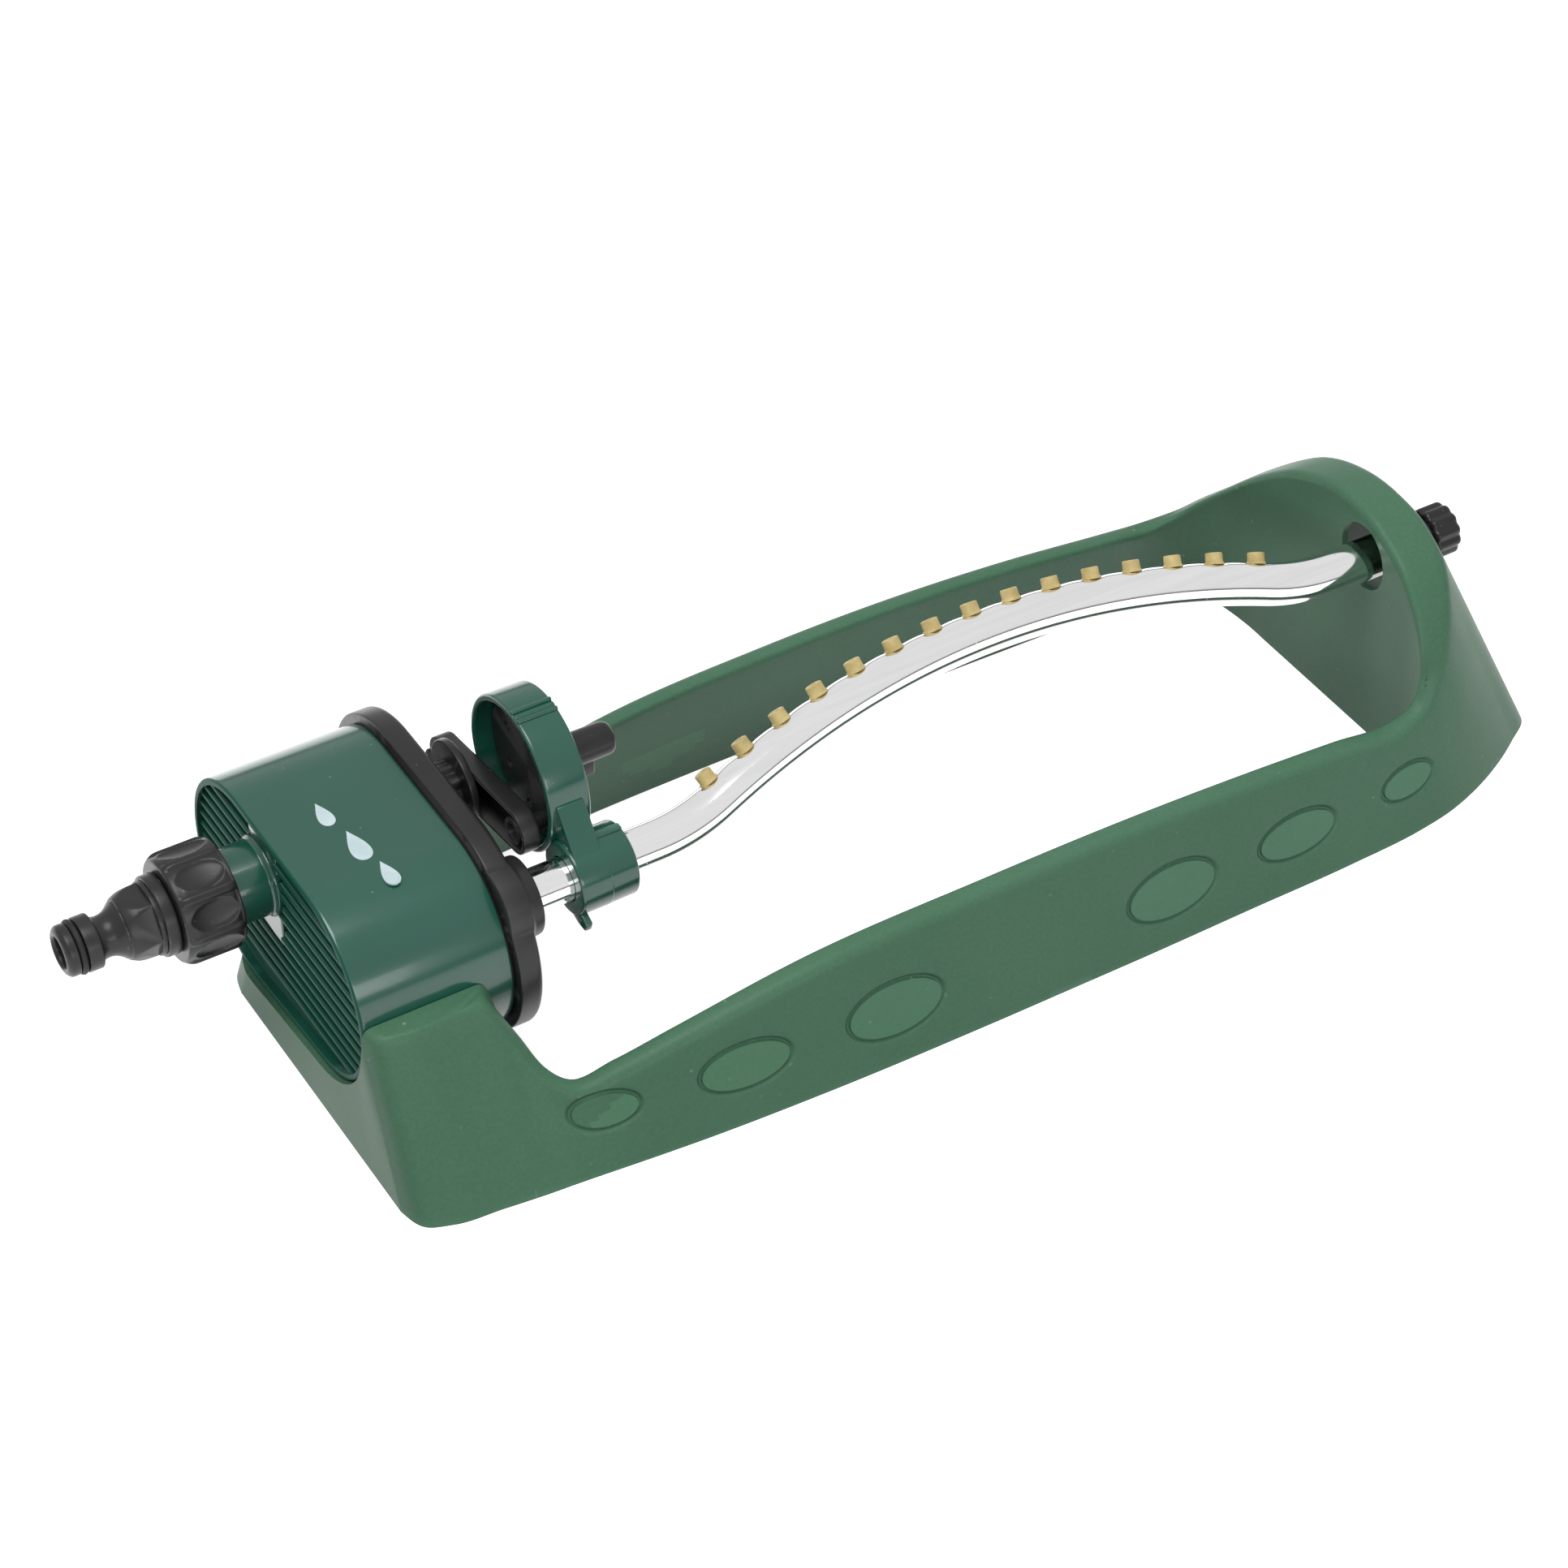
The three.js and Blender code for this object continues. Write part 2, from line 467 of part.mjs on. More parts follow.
function tubeYoke() {
  const strap = new THREE.Shape([[-6, 8.5], [4.2, 22], [7.4, 22], [8, 12], [6, 9], [-1, 7]]
    .map(([y, z]) => new THREE.Vector2(y, z)));
  const latch = new THREE.Shape([[-7, -6], [-12.6, -9.4], [-11.4, -12.2], [-7, -11.6], [-3, -10]]
    .map(([y, z]) => new THREE.Vector2(y, z)));
  const [gripY, gripZ] = turnedBy([RING.outer, 0], GRIP.angle);
  return cut(
    unite(
      solid(bar(RING.left, RING.right, RING.outer, RING.y, RING.z, 48)),
      solid(bar(RING.left, RING.right, GRIP.radius, RING.y + gripY, RING.z + gripZ, 12)),
      solid(bar(CLAMP.left, CLAMP.right, CLAMP.radius, 0, 0, 32)),
      solid(prism(strap, -140, -131.6)),
      solid(prism(latch, CLAMP.left, CLAMP.left + 9))),
    solid(bar(RING.left - 1, -131.8, RING.inner, RING.y, RING.z, 48)),
    solid(bar(-133, RING.right + 1, RING.inner - 3, RING.y, RING.z, 48)),
    solid(bar(CLAMP.left - 2, CLAMP.right + 1, TUBE.radius + GAP, 0, 0)));
}

/** Setting dial: a plate in the yoke's ring, a finger knob to the right and the drive pin to the left. */
function selectorDial() {
  const fin = block(DIAL.right - 0.2, DIAL.knobEnd - 6, RING.y - 1.5, RING.y + 1.5, RING.z - 10.5, RING.z);
  return unite(
    solid(bar(DIAL.left, DIAL.right - 0.1, DIAL.radius, RING.y, RING.z, 36)),
    solid(bar(DIAL.right - 0.2, DIAL.knobEnd, DIAL.knob, RING.y, RING.z, 20)),
    solid(fin),
    solid(bar(LINK.right + GAP, DIAL.left + 0.2, LINK.hole - GAP, ...DRIVE_PIN, 16)));
}

function driveLink() {
  const bossShape = linkShape(CRANK_PIN, DRIVE_PIN, LINK.radius);
  const pocket = linkShape(CRANK_PIN, DRIVE_PIN, LINK.pocket);
  const floor = LINK.right - 1.6;
  return cut(
    unite(
      cut(solid(prism(bossShape, LINK.left, LINK.right)), solid(prism(pocket, LINK.left - 1, floor))),
      solid(bar(LINK.left, floor + 0.2, LINK.hole + 1.5, ...CRANK_PIN, 16)),
      solid(bar(LINK.left, floor + 0.2, LINK.hole + 1.5, ...DRIVE_PIN, 16))),
    solid(bar(LINK.left - 1, LINK.right + 1, LINK.hole, ...CRANK_PIN, 16)),
    solid(bar(LINK.left - 1, LINK.right + 1, LINK.hole, ...DRIVE_PIN, 16)));
}

function crankDisc() {
  const hub = lobedShape(...CRANK_AXIS, 6.2, 7.4, 8);
  return cut(
    unite(
      solid(prism(hub, COVER.right + 0.9, DISC.left + 0.2)),
      solid(bar(DISC.left, DISC.right, DISC.radius, ...CRANK_AXIS, 32)),
      solid(bar(DISC.left, DISC.right, DISC.lobe, ...CRANK_PIN, 20)),
      solid(bar(DISC.right - 0.2, LINK.right - 0.4, LINK.hole - GAP, ...CRANK_PIN, 16))),
    solid(bar(COVER.right - 1, DISC.right - 0.8, 2.5, ...CRANK_AXIS, 16)));
}

piece('tube_yoke', geometryOf(tubeYoke()), 'yoke');
piece('selector_dial', geometryOf(selectorDial()), 'black');
piece('drive_link', geometryOf(driveLink()), 'black');
piece('crank_disc', geometryOf(crankDisc()), 'black');

// ---------------------------------------------------------------- gear motor
const PITCH_SMALL = (GEAR.pinion * GEAR.module) / 2;
const PITCH_LARGE = (GEAR.wheel * GEAR.module) / 2;
const CENTRES = PITCH_SMALL + PITCH_LARGE;
const TURBINE_AXIS = [60, -16];
const TURBINE = { left: -200.5, right: -193, hub: 4, radius: 10, blades: 12 };
const PLATE = { left: -190.6, right: -188.6 };
const PIN_RADIUS = 1.2;

// Three equal centre distances bridge the space between the turbine and the output shaft, so the
// train bows out by the angle whose cosine makes up the difference.
const SPAN = away(CRANK_AXIS, TURBINE_AXIS);
const BOW = THREE.MathUtils.radToDeg(Math.acos((SPAN / CENTRES - 1) / 2));
const STEP = CRANK_AXIS.map((value, i) => ((value - TURBINE_AXIS[i]) * CENTRES) / SPAN);
const plus = (a, b) => [a[0] + b[0], a[1] + b[1]];
const IDLER_1_AXIS = plus(TURBINE_AXIS, turnedBy(STEP, BOW));
const IDLER_2_AXIS = plus(IDLER_1_AXIS, STEP);

/** Direction from one axis to another, in turns. */
const bearing = (from, to) => Math.atan2(to[1] - from[1], to[0] - from[0]) / (2 * Math.PI);

/** A pinion with a tooth on the line of centres and a wheel with a gap there. */
const pinion = (axis, next, x0) => solid(prism(
  toothedShape(GEAR.pinion, ...axis, bearing(axis, next) * GEAR.pinion), x0, x0 + GEAR.face));
const wheel = (axis, before, x0) => solid(prism(
  toothedShape(GEAR.wheel, ...axis, bearing(axis, before) * GEAR.wheel + 0.5), x0, x0 + GEAR.face));

function idlerGear(axis, before, next, layer) {
  const [x0, x1] = [LAYERS[layer], LAYERS[layer + 1]];
  return cut(
    unite(wheel(axis, before, x0), solid(bar(x0 + 1, x1 + 0.5, 2.3, ...axis, 16)), pinion(axis, next, x1)),
    solid(bar(x0 - 1, x1 + GEAR.face + 1, PIN_RADIUS + GAP, ...axis, 12)));
}

function turbineWheel() {
  const { left, right, hub, radius, blades } = TURBINE;
  let wheelSolid = unite(solid(bar(left, right, hub, ...TURBINE_AXIS, 16)),
    solid(bar(right - 1.2, right, radius, ...TURBINE_AXIS, 24)));
  for (let i = 0; i < blades; i++) {
    const blade = block(left, right - 1, hub - 0.6, radius, -0.5, 0.5)
      .rotateX((i / blades) * Math.PI * 2).translate(0, ...TURBINE_AXIS);
    wheelSolid = wheelSolid.add(solid(blade));
  }
  const neck = solid(bar(right - 0.5, LAYERS[0] + 0.5, 2.3, ...TURBINE_AXIS, 16));
  return cut(unite(wheelSolid, neck, pinion(TURBINE_AXIS, IDLER_1_AXIS, LAYERS[0])),
    solid(bar(left - 1, LAYERS[0] + GEAR.face + 1, PIN_RADIUS + GAP, ...TURBINE_AXIS, 12)));
}

/** Partition between the turbine chamber and the gears; the axles stand in it. */
function gearPlate() {
  const outline = oval(-HOUSING.wall - GAP);
  const axle = (axis) => solid(bar(PLATE.left - 1, PLATE.right + 1, PIN_RADIUS + 0.1, ...axis, 12));
  return cut(solid(prism(outline, PLATE.left, PLATE.right, 10)),
    axle(IDLER_1_AXIS), axle(IDLER_2_AXIS),
    solid(bar(PLATE.left - 1, PLATE.right + 1, 3.2, ...TURBINE_AXIS, 16)),
    solid(bar(PLATE.left - 1, PLATE.right + 1, 9, 0, 0, 24)));
}

function outputGear() {
  const x0 = LAYERS[2];
  return cut(unite(wheel(CRANK_AXIS, IDLER_2_AXIS, x0), solid(bar(x0 + 1, -167, 4.4, ...CRANK_AXIS, 16))),
    solid(bar(x0 - 1, -160, 2.5, ...CRANK_AXIS, 16)));
}

piece('gear_plate', geometryOf(gearPlate()), 'gear');
piece('turbine_axle', bar(-203.2, -181, PIN_RADIUS, ...TURBINE_AXIS, 12), 'steel');
piece('idler_axle_1', bar(PLATE.left, -168, PIN_RADIUS, ...IDLER_1_AXIS, 12), 'steel');
piece('idler_axle_2', bar(PLATE.left, -168, PIN_RADIUS, ...IDLER_2_AXIS, 12), 'steel');
piece('turbine_wheel', geometryOf(turbineWheel()), 'gear');
piece('idler_gear_1', geometryOf(idlerGear(IDLER_1_AXIS, TURBINE_AXIS, IDLER_2_AXIS, 0)), 'gear');
piece('idler_gear_2', geometryOf(idlerGear(IDLER_2_AXIS, IDLER_1_AXIS, CRANK_AXIS, 1)), 'gear');
piece('output_gear', geometryOf(outputGear()), 'gear');
piece('crank_shaft', bar(LAYERS[2] - 0.5, DISC.right - 1.1, 2.2, ...CRANK_AXIS, 16), 'steel');

const sprinkler = new THREE.Group();
sprinkler.name = 'oscillating_sprinkler';
sprinkler.add(spray);

export default sprinkler;
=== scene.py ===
"""Oscillating lawn sprinkler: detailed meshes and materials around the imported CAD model.

Shapes are laid out in millimetres from the rocking axis of the spray tube (x along it, y to the
back, z up), and `to_row` turns them into the row frame in metres.
"""

import json
import math

import bmesh
import bpy
import numpy as np
from mathutils import Matrix, Vector

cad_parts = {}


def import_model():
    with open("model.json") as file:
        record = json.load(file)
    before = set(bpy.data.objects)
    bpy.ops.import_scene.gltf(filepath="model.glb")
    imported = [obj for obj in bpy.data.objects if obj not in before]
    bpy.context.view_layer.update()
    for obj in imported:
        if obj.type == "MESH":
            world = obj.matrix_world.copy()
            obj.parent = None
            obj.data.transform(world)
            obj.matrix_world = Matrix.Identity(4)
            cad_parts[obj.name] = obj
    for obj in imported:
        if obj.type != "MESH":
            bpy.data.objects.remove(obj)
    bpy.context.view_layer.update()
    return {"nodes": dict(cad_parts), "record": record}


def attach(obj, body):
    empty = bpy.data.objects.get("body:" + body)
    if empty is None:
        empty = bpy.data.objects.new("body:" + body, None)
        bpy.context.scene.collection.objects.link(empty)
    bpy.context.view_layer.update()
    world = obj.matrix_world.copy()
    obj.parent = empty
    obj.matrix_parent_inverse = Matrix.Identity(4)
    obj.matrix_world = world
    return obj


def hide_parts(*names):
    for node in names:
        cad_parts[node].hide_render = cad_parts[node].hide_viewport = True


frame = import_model()

MM = 0.001
JOINTS = {joint["name"]: joint for joint in frame["record"]["behaviour"]["joints"]}
PIVOT = np.array(JOINTS["tube_rock"]["pos_m"])
NODES = frame["nodes"]


def to_row(points):
    """Millimetres from the rocking axis to metres in the row frame."""
    return np.asarray(points, dtype=float) * MM + PIVOT


def local(position):
    """Row-frame metres to millimetres from the rocking axis."""
    return (np.asarray(position, dtype=float) - PIVOT) / MM


# ------------------------------------------------------------------ sizes shared by the pieces
GROUND = local([0, 0, 0])[2]
MIDDLE_Y = 17.65
# The housing's outline goes round two circles: y, z and radius of the front and the back one.
HOUSING_FRONT, HOUSING_BACK = (17.5, -17.0, 31.0), (61.0, -18.6, 33.4)
HOUSING_X = (-211.0, -165.0)
COVER_X = (-164.2, -157.0)
INLET_Y, INLET_Z = local(JOINTS["nut_screw"]["pos_m"])[1:]
RING_Y, RING_Z = local(JOINTS["dial_turn"]["pos_m"])[1:]
CRANK_Y, CRANK_Z = local(JOINTS["crank_turn"]["pos_m"])[1:]
CRANK_PIN = local(JOINTS["link_swing"]["pos_m"])[1:]
TUBE_R, TUBE_END = 6.5, 156.6
DRIVE_PIN_REACH = 18.0  # drive pin from the rocking axis
TUBE_TILT = math.radians(40)
ARCH_X, ARCH_RISE, ARCH_R, ARCH_HALF = 5.0, 21.5, 260.0, 95.0
JETS, JET_PITCH, JET_MIDDLE = 15, 13.29, 4.5


# ------------------------------------------------------------------ mesh helpers
def mesh_object(name, points, faces, row=False):
    """A mesh object in the row frame from points in millimetres."""
    mesh = bpy.data.meshes.new(name)
    vertices = points if row else to_row(points)
    mesh.from_pydata([tuple(v) for v in vertices], [], [tuple(f) for f in faces])
    mesh.validate()
    obj = bpy.data.objects.new(name, mesh)
    bpy.context.scene.collection.objects.link(obj)
    face_out(obj)
    return obj


def face_out(obj):
    bm = bmesh.new()
    bm.from_mesh(obj.data)
    bmesh.ops.recalc_face_normals(bm, faces=bm.faces)
    bm.to_mesh(obj.data)
    bm.free()


def applied(obj):
    """Turns the object's modifiers into mesh."""
    evaluated = obj.evaluated_get(bpy.context.evaluated_depsgraph_get())
    mesh = bpy.data.meshes.new_from_object(evaluated)
    old = obj.data
    obj.modifiers.clear()
    obj.data = mesh
    bpy.data.meshes.remove(old)
    return obj


def boolean(obj, other, operation):
    """Cuts, joins or intersects obj with other, which is used up."""
    modifier = obj.modifiers.new("boolean", "BOOLEAN")
    modifier.operation = operation
    modifier.solver = "MANIFOLD"
    modifier.object = other
    bpy.context.view_layer.update()
    applied(obj)
    bpy.data.objects.remove(other)
    return obj


def cut(obj, *others):
    for other in others:
        boolean(obj, other, "DIFFERENCE")
    return obj


def unite(obj, *others):
    for other in others:
        boolean(obj, other, "UNION")
    return obj


def bevelled(obj, width, segments=3, angle=35):
    modifier = obj.modifiers.new("bevel", "BEVEL")
    modifier.width = width * MM
    modifier.segments = segments
    modifier.limit_method = "ANGLE"
    modifier.angle_limit = math.radians(angle)
    modifier.use_clamp_overlap = True
    bpy.context.view_layer.update()
    return applied(obj)


def joined(obj, *others):
    """Puts several closed meshes into one object, without a boolean."""
    bm = bmesh.new()
    for part in (obj, *others):
        bm.from_mesh(part.data)
    bm.to_mesh(obj.data)
    bm.free()
    for part in others:
        bpy.data.objects.remove(part)
    return obj


def grid_faces(rows, cols, close_rows=False, close_cols=False):
    faces = []
    for i in range(rows if close_rows else rows - 1):
        for j in range(cols if close_cols else cols - 1):
            a, b = i * cols + j, i * cols + (j + 1) % cols
            c, d = ((i + 1) % rows) * cols + j, ((i + 1) % rows) * cols + (j + 1) % cols
            faces.append((a, b, d, c))
    return faces


def loops_object(name, loops, cap=True):
    """A solid through a row of closed loops of equal length, capped at both ends or ring-closed."""
    points = np.concatenate(loops)
    rows, cols = len(loops), len(loops[0])
    faces = grid_faces(rows, cols, close_rows=not cap, close_cols=True)
    if cap:
        faces.append(tuple(range(cols)))
        faces.append(tuple((rows - 1) * cols + j for j in range(cols)))
    return mesh_object(name, points, faces)


def corner(points, radius, steps=5):
    """A profile with each inner corner replaced by an arc-like curve; a radius per point."""
    radii = radius if isinstance(radius, (list, tuple)) else [radius] * len(points)
    points = [np.array(p, dtype=float) for p in points]
    out = [points[0]]
    for before, here, after, r in zip(points, points[1:], points[2:], radii[1:]):
        if r <= 0:
            out.append(here)
            continue
        start = here + (before - here) * min(0.48, r / np.linalg.norm(before - here))
        end = here + (after - here) * min(0.48, r / np.linalg.norm(after - here))
        for k in range(steps + 1):
            t = k / steps
            out.append((1 - t) ** 2 * start + 2 * t * (1 - t) * here + t * t * end)
    out.append(points[-1])
    return out


def revolved(name, profile, y, z, segments=72, radius_at=None):
    """A profile of (x, r) turned about an axis along x. radius_at(x, r, angle) may shape it."""
    turn = np.linspace(0, 2 * math.pi, segments, endpoint=False)
    loops = []
    for x, r in profile:
        r = max(r, 0.01)
        radii = np.full(segments, r) if radius_at is None else radius_at(x, r, turn)
        loops.append(np.column_stack([np.full(segments, x), y + radii * np.cos(turn), z + radii * np.sin(turn)]))
    ring = np.allclose(profile[0], profile[-1])
    return loops_object(name, loops[:-1] if ring else loops, cap=not ring)


def disc(name, x0, x1, r, y, z, edge=0.0, segments=64):
    """A short bar along x with rounded ends."""
    profile = corner([(x0, 0), (x0, r), (x1, r), (x1, 0)], edge)
    return revolved(name, profile, y, z, segments)


def washer(name, x0, x1, inner, outer, y, z, edge=0.0, segments=64):
    profile = corner([(x0, (inner + outer) / 2), (x0, outer), (x1, outer), (x1, inner), (x0, inner),
                      (x0, (inner + outer) / 2)], edge)
    return revolved(name, profile, y, z, segments)


def oval(offset, steps=32):
    """Points of the housing's outline, moved out by the offset, in y and z."""
    (y0, z0, r0), (y1, z1, r1) = HOUSING_FRONT, HOUSING_BACK
    lean = math.atan2(z1 - z0, y1 - y0)
    half = math.acos((r0 - r1) / math.hypot(y1 - y0, z1 - z0))
    back = np.linspace(lean - half, lean + half, steps)
    front = np.linspace(lean + half, lean - half + 2 * math.pi, steps)
    return np.concatenate([
        np.column_stack([y1 + (r1 + offset) * np.cos(back), z1 + (r1 + offset) * np.sin(back)]),
        np.column_stack([y0 + (r0 + offset) * np.cos(front), z0 + (r0 + offset) * np.sin(front)])])


def oval_solid(name, profile, steps=56):
    """A profile of (x, offset) carried round the housing's outline."""
    loops = []
    for x, offset in profile:
        outline = oval(offset, steps)
        loops.append(np.column_stack([np.full(len(outline), x), outline]))
    ring = np.allclose(profile[0], profile[-1])
    return loops_object(name, loops[:-1] if ring else loops, cap=not ring)


def prism(name, outline, x0, x1):
    """An outline in y and z, extruded along x."""
    outline = np.asarray(outline, dtype=float)
    loops = [np.column_stack([np.full(len(outline), x), outline]) for x in (x0, x1)]
    return loops_object(name, loops)


def link_outline(start, end, radius, steps=20):
    """Two round ends joined by straight sides, in y and z."""
    along = math.atan2(end[1] - start[1], end[0] - start[0])
    points = []
    for centre, first in ((end, along - math.pi / 2), (start, along + math.pi / 2)):
        for turn in np.linspace(first, first + math.pi, steps):
            points.append((centre[0] + radius * math.cos(turn), centre[1] + radius * math.sin(turn)))
    return points


def block(name, x, y, z):
    corners = [(a, b, c) for a in x for b in y for c in z]
    faces = [(0, 1, 3, 2), (4, 6, 7, 5), (0, 4, 5, 1), (2, 3, 7, 6), (0, 2, 6, 4), (1, 5, 7, 3)]
    return mesh_object(name, corners, faces)


# ------------------------------------------------------------------ materials
class Shader:
    """A small builder for one node material around a Principled shader."""

    def __init__(self, name, **constants):
        self.material = bpy.data.materials.new(name)
        self.material.use_nodes = True
        self.tree = self.material.node_tree
        self.main = self.tree.nodes["Principled BSDF"]
        for socket, value in constants.items():
            self.main.inputs[socket.replace("_", " ")].default_value = value
        self.place = self.tree.nodes.new("ShaderNodeTexCoord").outputs["Object"]

    def node(self, kind, inputs=None, **settings):
        node = self.tree.nodes.new(kind)
        for key, value in settings.items():
            setattr(node, key, value)
        for key, value in (inputs or {}).items():
            if isinstance(value, bpy.types.NodeSocket):
                self.tree.links.new(value, node.inputs[key])
            else:
                node.inputs[key].default_value = value
        return node

    def noise(self, scale, detail=3.0, roughness=0.55, stretch=(1, 1, 1)):
        mapped = self.node("ShaderNodeMapping", {"Vector": self.place, "Scale": stretch})
        return self.node("ShaderNodeTexNoise", {"Vector": mapped.outputs[0], "Scale": scale,
                                                "Detail": detail, "Roughness": roughness}).outputs["Fac"]

    def ramp(self, fac, stops):
        node = self.node("ShaderNodeValToRGB", {"Fac": fac})
        ramp = node.color_ramp
        while len(ramp.elements) < len(stops):
            ramp.elements.new(0.5)
        for element, (place, colour) in zip(ramp.elements, stops):
            element.position = place
            element.color = (*colour, 1) if isinstance(colour, tuple) else (colour, colour, colour, 1)
        return node.outputs["Color"]

    def mixed(self, fac, a, b, blend="MIX"):
        node = self.node("ShaderNodeMix", data_type="RGBA", blend_type=blend)
        for socket, value in ((node.inputs[0], fac), (node.inputs[6], a), (node.inputs[7], b)):
            if isinstance(value, bpy.types.NodeSocket):
                self.tree.links.new(value, socket)
            else:
                socket.default_value = (*value, 1) if isinstance(value, tuple) else value
        return node.outputs[2]

    def specks(self, scale, size):
        """Small scattered dots, as a mask."""
        cells = self.node("ShaderNodeTexVoronoi", {"Vector": self.place, "Scale": scale, "Randomness": 1.0})
        return self.ramp(cells.outputs["Distance"], [(0.0, 1.0), (size, 0.0)])

    def edge_wear_and_highlight(self, low=0.53, high=0.6):
        """Bright along convex edges, from the mesh's own curvature: scuffs on the black parts, a painted edge highlight
        on the green and tan ones.
        """
        geometry = self.node("ShaderNodeNewGeometry")
        return self.ramp(geometry.outputs["Pointiness"], [(low, 0.0), (high, 1.0)])

    def colour(self, socket):
        self.tree.links.new(socket, self.main.inputs["Base Color"])

    def roughness(self, fac, low, high):
        spread = self.node("ShaderNodeMapRange", {"Value": fac, "To Min": low, "To Max": high})
        self.tree.links.new(spread.outputs[0], self.main.inputs["Roughness"])

    def bump(self, height, strength, distance, before=None):
        inputs = {"Height": height, "Strength": strength, "Distance": distance}
        if before is not None:
            inputs["Normal"] = before
        node = self.node("ShaderNodeBump", inputs)
        self.tree.links.new(node.outputs[0], self.main.inputs["Normal"])
        return node.outputs[0]


def frame_plastic(name="satin_green_plastic", lift=1.0):
    """Satin moulded green with faint flow marks, dust specks and paler edges, a painted edge highlight. A lift above 1
    makes a lighter copy, a painted sheen.
    """
    s = Shader(name, Metallic=0.0, Specular_IOR_Level=0.16, IOR=1.49)
    cloud = s.noise(9, 4)
    fine = s.noise(950, 2)
    shades = ((0.35, (0.050, 0.128, 0.074)), (0.5, (0.056, 0.137, 0.080)), (0.65, (0.062, 0.146, 0.088)))
    # lift above 1 brightens every shade: a lighter copy of the green, a painted sheen
    base = s.ramp(cloud, [(place, tuple(lift * part for part in shade)) for place, shade in shades])
    grained = s.mixed(0.10, base, s.ramp(fine, [(0.3, (0.012, 0.05, 0.03)), (0.7, (0.08, 0.19, 0.13))]))
    dusty = s.mixed(s.node("ShaderNodeMath", {0: s.specks(150, 0.10), 1: s.ramp(s.noise(60, 2), [(0.5, 0.0), (0.62, 0.75)])},
                           operation="MULTIPLY").outputs[0], grained, (0.30, 0.36, 0.25))
    # paler convex edges: a painted edge highlight
    s.colour(s.mixed(s.edge_wear_and_highlight(0.54, 0.66), dusty, (0.085, 0.19, 0.13)))
    s.roughness(s.noise(45, 3), 0.36, 0.46)
    grain = s.bump(fine, 0.12, 0.0002)
    s.bump(s.noise(14, 2), 0.05, 0.0006, grain)
    return s.material


def gloss_plastic(name="gloss_green_plastic", low=0.16, high=0.26, shine=0.5, coat=0.3):
    """Deep glossy green with the slight waviness of a polished mould."""
    s = Shader(name, Metallic=0.0, Specular_IOR_Level=shine, IOR=1.5, Coat_Weight=coat, Coat_Roughness=0.08)
    base = s.ramp(s.noise(12, 3), [(0.35, (0.006, 0.062, 0.040)), (0.65, (0.009, 0.074, 0.050))])
    dusty = s.mixed(s.specks(120, 0.05), base, (0.12, 0.2, 0.16))
    # paler convex edges: a painted edge highlight
    s.colour(s.mixed(s.edge_wear_and_highlight(0.56, 0.7), dusty, (0.02, 0.11, 0.075)))
    s.roughness(s.noise(30, 4), low, high)
    wave = s.bump(s.noise(16, 2), 0.035, 0.0012)
    s.bump(s.noise(700, 2), 0.03, 0.00008, wave)
    return s.material


def black_plastic(name="black_plastic", low=0.26, high=0.42, shade=0.0125):
    """Black nylon: even satin, fine grain, pale scuffs on the edges."""
    s = Shader(name, Metallic=0.0, Specular_IOR_Level=0.3, IOR=1.52)
    base = s.ramp(s.noise(25, 4), [(0.35, (shade, shade * 0.97, shade)), (0.65, (shade * 1.5, shade * 1.45, shade * 1.48))])
    scuffed = s.mixed(s.edge_wear_and_highlight(0.54, 0.64), base, (0.065, 0.062, 0.062))
    s.colour(s.mixed(s.specks(170, 0.06), scuffed, (0.12, 0.115, 0.11)))
    s.roughness(s.noise(60, 4), low, high)
    s.bump(s.noise(620, 3), 0.10, 0.00012)
    return s.material


def rubber():
    s = Shader("seal_rubber", Metallic=0.0, Specular_IOR_Level=0.35)
    s.colour(s.ramp(s.noise(80, 4), [(0.3, 0.006), (0.7, 0.014)]))
    s.roughness(s.noise(140, 3), 0.5, 0.68)
    s.bump(s.noise(500, 3), 0.15, 0.0001)
    return s.material


def polished_aluminium():
    """Polished drawn tube with fine lines along it and scattered handling marks."""
    s = Shader("polished_aluminium", Metallic=1.0)
    drawn = s.noise(420, 3, stretch=(0.015, 1, 1))
    s.colour(s.ramp(drawn, [(0.3, (0.86, 0.86, 0.87)), (0.7, (0.93, 0.93, 0.935))]))
    s.roughness(s.noise(55, 4), 0.05, 0.13)
    lines = s.bump(drawn, 0.035, 0.00006)
    s.bump(s.specks(260, 0.07), 0.25, 0.00012, lines)
    return s.material


def jet_rubber():
    """Soft tan jet insert with a mottled moulded skin."""
    s = Shader("tan_jet_rubber", Metallic=0.0, Specular_IOR_Level=0.4, Subsurface_Weight=0.12,
               Subsurface_Radius=(0.002, 0.0015, 0.0006))
    base = s.ramp(s.noise(240, 3), [(0.3, (0.36, 0.27, 0.10)), (0.7, (0.50, 0.40, 0.18))])
    # paler convex edges: a painted edge highlight
    s.colour(s.mixed(s.edge_wear_and_highlight(0.53, 0.62), base, (0.62, 0.54, 0.30)))
    s.roughness(s.noise(300, 3), 0.38, 0.55)
    s.bump(s.noise(900, 2), 0.12, 0.0001)
    return s.material


def mark_print():
    """Pale blue-grey print with a slightly broken surface."""
    s = Shader("mark_print", Metallic=0.0, Specular_IOR_Level=0.45)
    s.colour(s.ramp(s.noise(160, 3), [(0.35, (0.40, 0.50, 0.52)), (0.65, (0.46, 0.56, 0.58))]))
    s.roughness(s.noise(90, 3), 0.3, 0.42)
    s.bump(s.noise(700, 2), 0.06, 0.00008)
    return s.material


def acetal():
    s = Shader("natural_acetal", Metallic=0.0, Specular_IOR_Level=0.5, Subsurface_Weight=0.1)
    s.colour(s.ramp(s.noise(60, 3), [(0.3, (0.70, 0.68, 0.62)), (0.7, (0.80, 0.78, 0.72))]))
    s.roughness(s.noise(120, 3), 0.3, 0.45)
    s.bump(s.noise(600, 2), 0.06, 0.00008)
    return s.material


